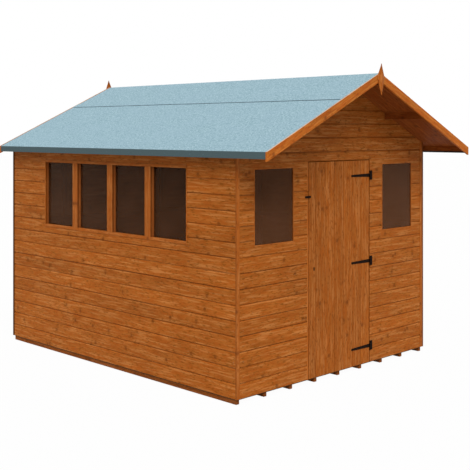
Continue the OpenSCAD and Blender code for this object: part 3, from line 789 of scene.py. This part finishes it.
pane_xs = levels("front_window_panes", 0)
front_windows = [(pane_xs[0], pane_xs[1]), (pane_xs[2], pane_xs[3])]
openings = [(a, b, sill_z, head_z) for a, b in front_windows]
openings.append((-doorway_half, doorway_half, floor_z - 1, doorway_top))
front_boards = Boards("front_shiplap", 13)
clad(front_boards, lambda a, s, d: Vector((a, -face_y + d, s)), panels(),
     gable_reach(front_low.x, front_high.x), openings,
     [ridge_seat + front_low.x * slope, ridge_seat - front_high.x * slope])
front_boards.finish(cladding_finish, "cladding_wood",
                    "front_wall_lower", "front_wall_piers", "front_gable")

# %% [markdown]
# The back wall repeats the front's courses without its openings. A shed's back is plain, since
# it usually stands against a fence.

# %% Clad the back wall and its gable
back_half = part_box("back_wall")[1].x
back_boards = Boards("back_shiplap", 14)
clad(back_boards, lambda a, s, d: Vector((a, face_y - d, s)), panels(),
     gable_reach(-back_half, back_half), (), [ridge_seat - back_half * slope])
back_boards.finish(cladding_finish, "cladding_wood", "back_wall")

# %% [markdown]
# ## Easing the edges of plain timbers
# Studs, rails, posts, strips and bearers are plain bars. Their CAD solids have knife-sharp
# edges, and a real bar has its edges eased by a plane or worn by hands, which is what catches
# the light. So a copy of each node is cleaned of the triangles that the file format needs, and
# its sharp edges are bevelled by a millimetre or two. A node may hold many bars, and each has to
# get a grain of its own, so first they have to be told apart: a bar is every corner that can be
# reached from one of its corners along edges.


# %% Tell the bars of a mesh apart
def islands(bm):
    """The separate solids of a mesh, as lists of vertices."""
    left = set(bm.verts)
    while left:
        heap, found = [left.pop()], []
        while heap:
            vert = heap.pop()
            found.append(vert)
            for edge in vert.link_edges:
                other = edge.other_vert(vert)
                if other in left:
                    left.remove(other)
                    heap.append(other)
        yield found


def rounded(vector):
    """A vector's numbers to 0.1 mm, so that equal places sort the same on any machine."""
    return tuple(round(c, 4) for c in vector)


trial = bmesh.new()
trial.from_mesh(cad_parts["bearers"].data)
bmesh.ops.remove_doubles(trial, verts=trial.verts[:], dist=1e-6)
print("bearers under the floor:", len(list(islands(trial))))
trial.free()

# %% [markdown]
# A bar's grain runs along its longest edge. Its pith lies behind its widest face, as in timber
# sawn from the side of a log. So three directions are found for each bar, along, across and
# through, and each corner's place is measured along them from the bar's middle.

# %% Copy a node's solids with eased edges and grain
FLAT, SHARP = math.radians(0.5), math.radians(20)


def eased(node, name, material, edge_mm=1.5, body="shell", seed=1):
    """A piece made from a node's solids: edges eased, and each bar with a grain of its own."""
    bm = bmesh.new()
    bm.from_mesh(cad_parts[node].data)
    bmesh.ops.remove_doubles(bm, verts=bm.verts[:], dist=1e-6)
    bmesh.ops.dissolve_limit(bm, angle_limit=FLAT, verts=bm.verts[:], edges=bm.edges[:])
    sharp = [e for e in bm.edges if len(e.link_faces) == 2 and e.calc_face_angle(0) > SHARP]
    bmesh.ops.bevel(bm, geom=sharp, offset=edge_mm / 1000, segments=2, profile=0.5,
                    affect="EDGES", clamp_overlap=True)
    grain = bm.verts.layers.float_vector.new("grain")
    tone = bm.verts.layers.float.new("tone")
    draw = random.Random(seed)
    for solid in sorted(islands(bm), key=lambda vs: min(rounded(v.co) for v in vs)):
        edges = {e for v in solid for e in v.link_edges}
        longest = max(edges, key=lambda e: (round(e.calc_length(), 4), *rounded(e.verts[0].co)))
        run = (longest.verts[1].co - longest.verts[0].co).normalized()
        faces = {f for v in solid for f in v.link_faces if abs(f.normal.dot(run)) < 0.1}
        widest_face = max(faces, key=lambda f: (round(f.calc_area(), 5), *rounded(f.normal)))
        deep = widest_face.normal.copy()
        wide = deep.cross(run)
        centre = sum((v.co for v in solid), Vector()) / len(solid)
        shift, bar_tone = log_and_tone(draw)
        for v in solid:
            away = v.co - centre
            v[grain] = Vector((away.dot(run), away.dot(wide), away.dot(deep))) + shift
            v[tone] = bar_tone
    mesh = bpy.data.meshes.new(name)
    bm.to_mesh(mesh)
    bm.free()
    return settle(mesh, name, [material], [node], body)


# %% [markdown]
# ## Bearers, frames and roof timbers
# The bearers are pressure-treated and dark. The frames, purlins, ridge beam and eaves rails are
# sawn timber dipped with the rest. They are seen through the windows, the open door and under
# the overhang.

# %% Ease the hidden and half-hidden timbers
eased("bearers", "sawn_bearers", bearer_finish, 2, seed=21)
walls = ("left_wall", "right_wall", "back_wall", "front_wall")
framing = [f"{wall}_{kind}" for wall in walls for kind in ("rails", "studs")]
for number, node in enumerate([*framing, "gable_posts", "door_stops"]):
    eased(node, node + "_sawn", frame_finish, 1.5, seed=30 + number)
for number, node in enumerate(["ridge_beam", "purlins", "eaves_rails"]):
    eased(node, node + "_sawn", roof_finish, 1.5, seed=50 + number)

# %% [markdown]
# ## Floor boards
# The floor is tongued and grooved boards laid across the bearers, with their joints tight. A
# small chamfer along each edge makes the joint a fine line that shows through the doorway. The
# boards' ends and the outer edges of the first and last rows are dark: painted shade along the
# floor's edge under the walls.

# %% Lay the floor
floor_low, floor_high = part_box("floor_boards")
FLOOR_BOARD, FLOOR_CHAMFER = 0.115, 0.0015


def matchboard(low, high, thick, chamfer):
    """A board whose face edges are chamfered to make a V joint. Its edges are dark: stain in a
    joint, and painted shade where the edge is the outside of a door or a floor.
    """
    return [(low, chamfer, 1), (low + chamfer, 0), (high - chamfer, 0), (high, chamfer, 1),
            (high, thick, 1), (low, thick, 1)]


def spread(start, stop, width):
    """The edges of boards laid side by side from start to stop."""
    count = round((stop - start) / width)
    return [start + (stop - start) * i / count for i in range(count + 1)]


floor = Boards("floor_matchboards", 15)
rows = spread(floor_low.y, floor_high.y, FLOOR_BOARD)
for y0, y1 in zip(rows, rows[1:]):
    floor.fresh()
    floor.prism(matchboard(y0, y1, floor_high.z - floor_low.z, FLOOR_CHAMFER),
                lambda s, d: (floor_low.x, floor_high.x),
                lambda a, s, d: Vector((a, s, floor_high.z - d)), (y0 + y1) / 2)
floor.finish(floor_finish, "floor_wood", "floor_boards")

# %% [markdown]
# ## Roof boards
# Under the felt, boards run down the slope from the ridge beam over the purlin to the eaves
# rail. Only their underside shows, under the overhang and from inside, so the chamfered joints
# are on that side. The profile's depth is measured up from the underside, at right angles to
# the slope, and both ends are cut plumb.

# %% Lay both slopes
roof_low, roof_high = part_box("roof_boards_right")
ROOF_BOARD, ROOF_BOARD_T, ROOF_CHAMFER = 0.112, 0.012, 0.002
under_ridge = ridge_seat + 0.00005  # a hair above the beam, so that no two faces coincide


def lay_slope(name, side, node, seed):
    """One slope of the roof. side is -1 on the left and 1 on the right."""
    boards = Boards(name, seed)
    rows = spread(roof_low.y, roof_high.y, ROOF_BOARD)

    def ends(s, d):
        """Plumb cuts: the upper end moves down the slope as the depth grows."""
        return (-d * math.tan(pitch), (roof_high.x - d * math.sin(pitch)) / math.cos(pitch))

    def place(a, s, d):
        """A point a down the slope, s along the ridge, and d above the boards' underside."""
        x = a * math.cos(pitch) + d * math.sin(pitch)
        return Vector((side * x, s, under_ridge - a * math.sin(pitch) + d * math.cos(pitch)))

    for y0, y1 in zip(rows, rows[1:]):
        boards.fresh()
        profile = matchboard(y0, y1, ROOF_BOARD_T, ROOF_CHAMFER)
        boards.prism(profile, ends, place, (y0 + y1) / 2)
    boards.finish(roof_finish, "roof_wood", node)


lay_slope("roof_matchboards_left", -1, "roof_boards_left", 16)
lay_slope("roof_matchboards_right", 1, "roof_boards_right", 17)

# %% [markdown]
# ## Felt
# The three sheets of felt are already right as solids: two hang over the eaves and one caps the
# ridge. So they keep their CAD meshes and only take the felt's material. The same small
# function dresses the glass and the ironmongery later.


# %% Dress the felt
def paint(node, material):
    """Gives a CAD node's object a new material and leaves its mesh alone."""
    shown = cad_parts[node]
    if not shown.material_slots:
        shown.data.materials.append(material)
    for part in shown.material_slots:
        part.material = material
    print(f"{node}: {material.name}")


for node in ("felt_left", "felt_right", "felt_ridge"):
    paint(node, felt_finish)

# %% [markdown]
# ## The laps
# Along each edge of the ridge sheet a bead of bitumen has squeezed out. It is a thin strip of
# mesh, four points across, whose width wanders by a millimetre or so, because a knife spread it
# by hand. A bevelled curve would be even all along, and a bead never is.

# %% Squeeze out the bitumen
FROM_END, TO_END, BEAD_STEP, BEAD_HALF = 0.004, 0.003, (0.02, 0.04), (0.0028, 0.0042)
lap_low, lap_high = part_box("felt_ridge")
draw = random.Random(7)
bm = bmesh.new()
for side in (-1, 1):
    rows = []
    y = lap_low.y + FROM_END
    while y < lap_high.y - TO_END:
        half = draw.uniform(*BEAD_HALF)
        bulge = ((-0.001, 0.0030), (0.0004, 0.0031), (half, 0.0016), (2 * half, 0.0001))
        rows.append([bm.verts.new((side * (lap_high.x + s), y, lap_low.z - s * slope + up))
                     for s, up in bulge])
        y += draw.uniform(*BEAD_STEP)
    for a, b in zip(rows, rows[1:]):
        for i in range(len(bulge) - 1):
            bm.faces.new((a[i], a[i + 1], b[i + 1], b[i]))
bm.normal_update()
for face in bm.faces:
    if face.normal.z < 0:
        face.normal_flip()
    face.smooth = True
mesh = bpy.data.meshes.new("lap_bitumen")
bm.to_mesh(mesh)
bm.free()
settle(mesh, "lap_bitumen", [bitumen_finish], (), "shell", "in two beads")

# %% [markdown]
# ## Bargeboards and finials
# The bargeboards cover the ends of the roof boards and the felt. They are planed smooth and
# have taken the stain brightly, so they have a warmer finish than the walls. Their top edges,
# the faces that point up, are pale with a painted highlight.

# %% Ease the bargeboards and paint a highlight on their top edges
UPWARDS = 0.85  # the least upward part of a top edge's normal
for side, seed in (("left", 61), ("right", 62)):
    barge = eased("bargeboards_" + side, f"bargeboards_{side}_planed",
                  barge_finish, 2, seed=seed)
    barge.data.materials.append(barge_top_highlight)
    for face in barge.data.polygons:
        if face.normal.z > UPWARDS:
            face.material_index = 1

# %% [markdown]
# A finial covers the bargeboards' joint at each end of the ridge. It is sawn to a spear's
# outline with straight sides. Its face is planed off to both sides, and front and back are
# thinned towards the points, so that they come out sharp. Sections across the spear, from the
# lower point to the upper, are joined into one mesh. A solid with a bevel would be quicker,
# but its points would stay blunt. Weather has darkened the top 90 mm.

# %% Loft the finials
finial_low, finial_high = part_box("finials")
FINIAL_T, POINT_T = 0.018, 0.003
EDGE_SHARE, FLAT_SHARE, BACK_SHARE = 0.45, 0.12, 0.6  # of thickness, width and thinning
TAPER, WEATHERED, DARKEST, NEAR = 1.25, 0.09, 0.7, 1e-4
spear_zs = levels("finials", 2)
widest = finial_high.x
outline = [v.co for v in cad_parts["finials"].data.vertices]
shoulders = [z for z in spear_zs
             if any(abs(co.z - z) < NEAR and co.x > widest - NEAR for co in outline)]
print("finial", round(1000 * (spear_zs[-1] - spear_zs[0])), "mm tall, shoulders at", shoulders)


def half_width(z):
    """Half the finial's width at height z."""
    below = (shoulders[0] - z) / (shoulders[0] - spear_zs[0])
    above = (z - shoulders[-1]) / (spear_zs[-1] - shoulders[-1])
    return max(POINT_T, widest * (1 - max(below, above, 0.0)))


spear = Boards("finials_planed", 63)
for wall_y, out in ((finial_low.y + FINIAL_T, -1), (finial_high.y - FINIAL_T, 1)):
    spear.fresh()
    rows = []
    for z in spear_zs:
        half = half_width(z)
        thick = POINT_T + (FINIAL_T - POINT_T) * min(1.0, TAPER * half / widest)
        back = BACK_SHARE * (FINIAL_T - thick)
        weather = DARKEST * max(0.0, (z - spear_zs[-1] + WEATHERED) / WEATHERED)
        section = ((-half, 0), (-half, thick * EDGE_SHARE), (-FLAT_SHARE * half, thick),
                   (FLAT_SHARE * half, thick), (half, thick * EDGE_SHARE), (half, 0))
        rows.append([spear.corner((x, wall_y + out * (back + d), z), (z, x, d), weather)
                     for x, d in section])
    pairs = list(enumerate([*range(1, len(section)), 0]))
    skins = [(a[i], a[j], b[j], b[i]) for a, b in zip(rows, rows[1:]) for i, j in pairs]
    for skin in [*skins, tuple(rows[0][::-1]), tuple(rows[-1])]:
        spear.bm.faces.new(skin if out < 0 else skin[::-1])
spear.finish(trim_finish, "trim_wood", "finials")

# %% [markdown]
# ## Corner strips
# Strips cover the ends of the cladding. The rear ones are dark all over with painted shade. The
# front left one has painted shade on its outer side, and the front right one a little all over.
# At the front right corner the strip stops short, and an edge strip beside it is dark with
# painted shade. Their tops follow the roof.

# %% Make the corner strips
eased("rear_corner_strips", "rear_corner_strips_planed", rear_strip_shade, 1.5, seed=64)
EASE, SKIN = 0.0015, 0.0005  # a rounded edge, and how near a point is to a face that it lies on


def bar(boards, low, high, soak_and_shade=lambda x, y: 0.0, top=None):
    """An upright bar with eased edges between two opposite corners. top(x) may slope."""
    (x0, y0, z0), (x1, y1, z1) = low, high
    xs, ys = (x0 + EASE, x1 - EASE), (y0 + EASE, y1 - EASE)
    section = [(xs[0], y0), (xs[1], y0), (x1, ys[0]), (x1, ys[1]),
               (xs[1], y1), (xs[0], y1), (x0, ys[1]), (x0, ys[0])]
    boards.fresh()
    boards.prism([(x, y, soak_and_shade(x, y)) for x, y in section],
                 lambda s, d: (z0, top(s) if top else z1),
                 lambda a, s, d: Vector((s, d, a)), (x0 + x1) / 2)


strips = Boards("front_corner_strips_planed", 65)
strip_xs = levels("front_corner_strips", 0)
# The strips' painted shade: the left one's outer side, a little on the right one, and the edge
# strip all over.
strip_shades = (lambda x, y: 0.4 * (x < -out_x + SKIN), lambda x, y: 0.2, lambda x, y: 1.0)
for x0, x1, soak_and_shade in zip(strip_xs[::2], strip_xs[1::2], strip_shades):
    bar(strips, (x0, -out_y, floor_z), (x1, strip_high.y, 0), soak_and_shade,
        lambda x: ridge_seat - abs(x) * slope)
strips.finish(trim_finish, "trim_wood", "front_corner_strips")

# %% [markdown]
# ## Windows
# Beads, trims and slim frames all go round an opening, or along some of its sides. One function
# makes such a ring of members from any profile. Its points are (inwards from the opening's
# edge, depth, soak), and for a mitre each point is cut back at the corners by its own distance
# inwards. Modelling a joiner's mitre from its profile keeps both halves of the corner exact.


# %% Make a ring of trim around an opening
def ring(boards, rect, section, place, sides="bltr", mitred=True):
    """Members along the bottom, left, top and right of rect, which is (a0, a1, z0, z1)."""
    a0, a1, z0, z1 = rect
    members = {"b": ((a0, z0), (a1, z0), (0, 1)), "r": ((a1, z0), (a1, z1), (-1, 0)),
               "t": ((a1, z1), (a0, z1), (0, -1)), "l": ((a0, z1), (a0, z0), (1, 0))}
    for side in sides:
        p, q, inward = (Vector(v) for v in members[side])
        run, length = (q - p).normalized(), (q - p).length
        boards.fresh()

        def put(a, s, d):
            """A point a along the member and s inwards from the opening's edge."""
            point = p + run * a + inward * s
            return place(point.x, point.y, d)

        def ends(s, d):
            """Mitred ends are cut back by the distance inwards, and others are square."""
            return (s, length - s) if mitred else (0.0, length)

        boards.prism(section, ends, put)


# %% [markdown]
# ### The four side windows
# Posts stand between the side windows. Their faces were planed and took the stain like the
# trims, and their sides, in the corners of the glazing, are dark with painted shade. Each pane
# is held by upright glazing beads, strips 12 mm square with one edge bevelled, that are dark
# with painted shade in the window's recess.

# %% Set the posts and the glazing beads
posts_low, posts_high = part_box("left_window_posts")
uprights = Boards("left_window_posts_planed", 68)
for y0, y1 in zip(posts[::2], posts[1::2]):
    # The posts' sides and backs carry painted shade.
    bar(uprights, (posts_low.x, y0, posts_low.z), (posts_high.x, y1, posts_high.z),
        lambda x, y: float(x > posts_low.x + SKIN))
uprights.finish(trim_finish, "trim_wood", "left_window_posts")

# The beads' darkness is painted shade in the recess.
BEAD, BEAD_SHADE = 0.012, 0.9
glass_depth = face_x + panes_low.x
bead_front, bevel = glass_depth - BEAD, BEAD * 0.45
bead = [(s, d, BEAD_SHADE) for s, d in ((0, glass_depth), (0, bead_front), (bevel, bead_front),
                                       (BEAD, glass_depth - bevel), (BEAD, glass_depth))]
beads = Boards("left_window_beads", 66)
for y0, y1 in left_windows:
    ring(beads, (y0, y1, sill_z, head_z), bead, on_left, "lr", mitred=False)
beads.finish(trim_finish, "trim_wood")

# %% [markdown]
# Flat trims cover the cut ends of the boards around the row: narrow ones at its two ends, wider
# ones along its sill and head. They stand as proud of the boards as the corner strips do, and
# their front edges are taken off by a millimetre.

# %% Trim the row of side windows
NARROW, WIDE = 0.009, 0.024
OFF, BEHIND = 0.001, 0.002  # the edge that is taken off, and how far a trim sits in
trims = Boards("left_window_trims", 67)
for width, sides, rect in ((NARROW, "lr", (*bank, sill_z - WIDE, head_z + WIDE)),
                           (WIDE, "bt", (*bank, sill_z, head_z))):
    flat = [(0, -proud + OFF), (0, BEHIND), (-width, BEHIND), (-width, -proud + OFF),
            (-width + OFF, -proud), (-OFF, -proud)]
    ring(trims, rect, flat, on_left, sides, mitred=False)
trims.finish(trim_finish, "trim_wood")

# %% [markdown]
# ### The two front windows
# The front panes are nearly flush with the boards, inside a slim mitred frame 9 mm wide that
# stands 1.5 mm proud. Its inner side is dark with painted shade along the glass. Then all the
# panes, which keep their CAD solids, take the glass.

# %% Set the slim frames of the two front windows
front_depth = face_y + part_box("front_window_panes")[0].y
SLIM_PROUD = 0.0015
# The inner points carry painted shade along the glass.
slim = [(SKIN, -SKIN, 1), (SKIN, front_depth, 1), (-SKIN, front_depth, 1), (-NARROW, BEHIND),
        (-NARROW, -SKIN), (-NARROW + OFF, -SLIM_PROUD), (-SKIN, -SLIM_PROUD)]
trims = Boards("front_window_trims", 70)
for x0, x1 in front_windows:
    ring(trims, (x0, x1, sill_z, head_z), slim,
         lambda a, z, d: Vector((a, -face_y + d, z)))
trims.finish(trim_finish, "trim_wood")
for node in ("left_window_panes", "front_window_panes"):
    paint(node, glass_finish)

# %% [markdown]
# ## The door
# The door is made of seven upright matchboards, nailed to three ledges, with two braces that
# rise from the hinge side to keep it square. Its first board is narrower than the others,
# because the joiner trimmed the leaf to fit. The boards ride on the door's own body, so they
# swing with it. The V joints are 3.5 mm deep, and stain gathered at their feet. The leaf's two
# outer edges take the same darkness as painted shade in the gap around the door.

# %% Board the door
door_low, door_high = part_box("door_boards")
DOOR_CHAMFER = 0.0035
door = Boards("door_matchboards", 71)
joints = [door_low.x, -0.315, -0.194, -0.074, 0.047, 0.167, 0.287, door_high.x]
for x0, x1 in zip(joints, joints[1:]):
    door.fresh()
    door.prism(matchboard(x0, x1, door_high.y - door_low.y, DOOR_CHAMFER),
               lambda s, d: (door_low.z, door_high.z),
               lambda a, s, d: Vector((s, door_low.y + d, a)), (x0 + x1) / 2)
door.finish(door_finish, "door_wood", "door_boards", body="door")
eased("door_ledges", "door_ledges_planed", door_finish, 2, "door", 72)
eased("door_braces", "door_braces_planed", door_finish, 2, "door", 73)

# %% [markdown]
# A slim bead, 14 mm wide, is pinned over the cut ends of the cladding beside the latch. It comes
# in two lengths that leave 50 mm above and below the button's screw, so the button can turn.
# Its side towards the door is dark with painted shade in the gap beside the leaf.

# %% Pin the bead beside the latch
button_low, button_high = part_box("button_screw")
button_z = (button_low.z + button_high.z) / 2
BEAD_W, BEAD_IN, BUTTON_ROOM = 0.014, 0.003, 0.05
latch_bead = Boards("latch_bead", 74)
for z0, z1 in ((floor_z, button_z - BUTTON_ROOM), (button_z + BUTTON_ROOM, doorway_top)):
    # The side towards the door carries painted shade.
    bar(latch_bead, (-doorway_half - BEAD_W, -face_y - SLIM_PROUD, z0),
        (-doorway_half, -face_y + BEAD_IN, z1), lambda x, y: float(x > -doorway_half - SKIN))
latch_bead.finish(trim_finish, "trim_wood")

# %% [markdown]
# ## Ironmongery
# The three T-hinges, the turn button and the keyhole plates keep their CAD solids and take the
# japanned finish. Round-headed screws hold them.

# %% Paint the ironmongery
for node in ("hinge_plates", "hinge_straps", "keyhole_plates", "turn_button", "button_screw"):
    paint(node, black_finish)

# %% [markdown]
# ## Screw, nail and clout heads
# A head is a low dome, and a screw's dome has a dimple for the driver. All heads of one kind on
# one body are a single mesh, because hundreds of separate objects would slow everything down.
# Ten sides are enough for a head a few millimetres wide, with its faces shaded smooth.


# %% Make many round heads as one mesh
HEAD_SIDES = 10


def heads(name, spots, radius, rise, material, body="shell", dimple=False):
    """spots is a list of (centre on the surface, direction it faces)."""
    bm = bmesh.new()
    # Rings of the dome, as shares of its radius and of its rise. The first lies in the surface.
    shape = [(1.0, -0.2), (0.92, 0.45), (0.6, 0.9), (0.3, 0.5 if dimple else 1.0)]
    for centre, facing in spots:
        n = Vector(facing).normalized()
        u = n.orthogonal().normalized()
        v = n.cross(u)
        turns = [i * math.tau / HEAD_SIDES for i in range(HEAD_SIDES)]
        spokes = [u * math.cos(t) + v * math.sin(t) for t in turns]
        rows = [[bm.verts.new(Vector(centre) + spoke * radius * r + n * rise * h)
                 for spoke in spokes] for r, h in shape]
        for a, b in zip(rows, rows[1:]):
            for i, j in enumerate([*range(1, HEAD_SIDES), 0]):
                bm.faces.new((a[i], a[j], b[j], b[i]))
        bm.faces.new(rows[-1])
        bm.faces.new(rows[0][::-1])
    for face in bm.faces:
        face.smooth = True
    mesh = bpy.data.meshes.new(name)
    bm.to_mesh(mesh)
    bm.free()
    return settle(mesh, name, [material], (), body, f"{len(spots)} heads")


# %% [markdown]
# The hinges lie on the door's face at the height of the three ledges, so that the screws go
# through the boards into solid wood. Each strap takes four screws, which swing with the door,
# and each plate four, which stay on the post. Their heads are 7.6 mm wide.

# %% Screw the hinges on
ledge_zs = levels("door_ledges", 2)
hinge_zs = [(a + b) / 2 for a, b in zip(ledge_zs[::2], ledge_zs[1::2])]
STEEL_T, SCREW_R, HEAD_RISE = 0.003, 0.0038, 0.0012
STRAP_XS, PLATE_XS, PLATE_DZS = (0.18, 0.255, 0.33, 0.375), (0.424, 0.437), (-0.03, 0.03)
hinge_face = -face_y - STEEL_T
print("hinges at", [round(z - floor_z, 3) for z in hinge_zs], "above the floor")
heads("hinge_screws_door",
      [((x, hinge_face, z), (0, -1, 0)) for z in hinge_zs for x in STRAP_XS],
      SCREW_R, HEAD_RISE, black_finish, "door", True)
heads("hinge_screws_post",
      [((x, hinge_face, z + dz), (0, -1, 0))
       for z in hinge_zs for x in PLATE_XS for dz in PLATE_DZS],
      SCREW_R, HEAD_RISE, black_finish, "shell", True)

# %% [markdown]
# Each board is nailed once at every stud, a third of the way up, where the nail misses the
# tongue of the board below. The studs' places come from the frame. A cladding nail's head is
# 4.4 mm wide, and no nail goes nearer than 30 mm to the slope of the roof.

# %% Nail the cladding
def stud_lines(node, axis):
    """The middles of a wall's studs."""
    edges = levels(node, axis)
    return [(a + b) / 2 for a, b in zip(edges[::2], edges[1::2])]


NAIL_R, NAIL_RISE, FROM_SLOPE = 0.0022, 0.0006, 0.03
nail_spots = []
for z, _ in side_courses():
    z += COURSE / 3
    for y in stud_lines("right_wall_studs", 1):
        if not (sill_z < z < head_z and bank[0] < y < bank[1]):
            nail_spots.append(((-face_x, y, z), (-1, 0, 0)))
        nail_spots.append(((face_x, y, z), (1, 0, 0)))
for z, _ in panels():
    z += COURSE / 3
    within = roof_half(z) - FROM_SLOPE
    for x in stud_lines("front_wall_studs", 0):
        blocked = any(a < x < b and low < z < high for a, b, low, high in openings)
        if not blocked and abs(x) < within:
            nail_spots.append(((x, -face_y, z), (0, -1, 0)))
    for x in stud_lines("back_wall_studs", 0):
        if abs(x) < within:
            nail_spots.append(((x, face_y, z), (0, 1, 0)))
heads("cladding_nails", nail_spots, NAIL_R, NAIL_RISE, zinc_finish)

# %% [markdown]
# The felt is nailed with clouts, which have wide flat heads so that the sheet can't tear over
# them. They are about 150 mm apart, 22 mm in from the ridge sheet's edges and 22 mm up from the
# lower edge of the fold at the eaves, and they are dabbed with bitumen.

# %% Nail the felt
CLOUT_R, CLOUT_IN, CLOUT_STEP, CLOUT_END = 0.005, 0.022, 0.15, 0.05
normal = Vector((math.sin(pitch), 0, math.cos(pitch)))
eave_low, eave_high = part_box("felt_right")
clout_spots = []
for y in spread(lap_low.y + CLOUT_END, lap_high.y - CLOUT_END, CLOUT_STEP):
    for side in (-1, 1):
        x = lap_high.x - CLOUT_IN
        on_slope = (side * x, y, lap_high.z - x * slope)
        on_fold = (side * eave_high.x, y, eave_low.z + CLOUT_IN)
        clout_spots.append((on_slope, (side * normal.x, 0, normal.z)))
        clout_spots.append((on_fold, (side, 0, 0)))
heads("felt_clouts", clout_spots, CLOUT_R, HEAD_RISE, bitumen_finish)

# %% [markdown]
# ## The studio
# The object stands on a pale floor under soft light. The background is white because the
# camera sees the world at a strength of 1, and so do mirrors and clear materials. The lamps and
# the world light the shed at a plain level, so its colours come out as they are written.

# %% Light the world
SKY_LIGHT = 0.50


def background_rays(tree):
    """1 for rays that show the background itself, and 0 for those that only bring its light."""
    ray = add(tree, "LightPath")
    seen = ray.outputs["Is Camera Ray"]
    for kind in ("Is Glossy Ray", "Is Transmission Ray"):
        seen = add(tree, "Math", LARGER, {0: seen, 1: ray.outputs[kind]}).outputs[0]
    return seen


world = bpy.data.worlds.new("studio")
bpy.context.scene.world = world
world.use_nodes = True
tree = world.node_tree
tree.nodes.clear()
seen = background_rays(tree)
sky = add(tree, "Background", None, {"Color": linear("fafbff"), "Strength": SKY_LIGHT}).outputs[0]
white = add(tree, "Background", None, {"Color": (1, 1, 1, 1), "Strength": 1.0}).outputs[0]
both = add(tree, "MixShader", None, {0: seen, 1: sky, 2: white}).outputs[0]
add(tree, "OutputWorld", None, {"Surface": both})
print("the world lights the shed at", SKY_LIGHT)

# %% [markdown]
# One key light stands for a wall of softboxes. A sun lamp is even all over the shed, as a very
# large and distant softbox would be, and its angle of 38 degrees gives shadows a soft edge. It
# comes from above and behind the camera, so it reaches the left wall and the front alike.


# %% Hang the key light
def sunlight(name, towards, strength, spread_degrees):
    """A very large and distant softbox: even light, with soft-edged shadows."""
    lamp = bpy.data.lights.new(name, "SUN")
    lamp.energy, lamp.angle = strength, math.radians(spread_degrees)
    holder = bpy.data.objects.new(name, lamp)
    bpy.context.scene.collection.objects.link(holder)
    holder.rotation_euler = Vector(towards).to_track_quat("-Z", "Y").to_euler()
    print(f"{name}: strength {strength}, {spread_degrees} degrees wide")


sunlight("key_light", (0.68, 0.76, -1.02), 2.80, 38)

# %% [markdown]
# The floor is painted a pale grey, and it sends some light back up under the overhang. To be as
# white as the background it would need more light, and that would fall on the shed too. So the
# rays that show the background see a floor that is mostly white by itself. The last 3 per cent
# are still paint, and they keep the shed's faint shadow on the floor. The floor lies half a
# millimetre below the bearers, so that no two faces coincide.

# %% Pour the floor
OWN_WHITE, HALF_FLOOR, FLOOR_GAP = 0.97, 60, 0.0005
floor_paint, tree = new_material("studio floor painted pale")
share = add(tree, "Math", TIMES, {0: background_rays(tree), 1: OWN_WHITE}).outputs[0]
paint_coat = add(tree, "BsdfDiffuse", None, {"Color": linear("d2d2d0")}).outputs[0]
glow = add(tree, "Emission", None, {"Color": (1, 1, 1, 1), "Strength": 1.0}).outputs[0]
mixed = add(tree, "MixShader", None, {0: share, 1: paint_coat, 2: glow}).outputs[0]
add(tree, "OutputMaterial", None, {"Surface": mixed})
mesh = bpy.data.meshes.new("studio_floor")
ways = ((-1, -1), (1, -1), (1, 1), (-1, 1))
mesh.from_pydata([(x * HALF_FLOOR, y * HALF_FLOOR, 0) for x, y in ways], [], [(0, 1, 2, 3)])
mesh.materials.append(floor_paint)
stage = bpy.data.objects.new("studio_floor", mesh)
bpy.context.scene.collection.objects.link(stage)
stage.location.z = -FLOOR_GAP
print("the floor is", 2 * HALF_FLOOR, "m square")

# %% [markdown]
# ## The camera
# The camera stands level at 2.06 m, off the front left corner, about 9 m from the shed. Upright
# edges stay upright because it isn't tilted. The lens is shifted down instead, as is usual for
# buildings: a tilted camera would make the walls lean towards each other.

# %% Place the camera
camera = bpy.data.objects.new("camera", bpy.data.cameras.new("camera"))
bpy.context.scene.collection.objects.link(camera)
camera.location = (-6.108, -6.440, 2.058)
camera.rotation_euler = (math.radians(90), 0, math.radians(-44.87))
camera.data.lens = 70.85
camera.data.sensor_width = 36
camera.data.shift_y = -0.2226
bpy.context.scene.camera = camera
bpy.context.scene.view_settings.view_transform = "Standard"
print("camera at", [round(v, 3) for v in camera.location], "with a lens of", camera.data.lens, "mm")
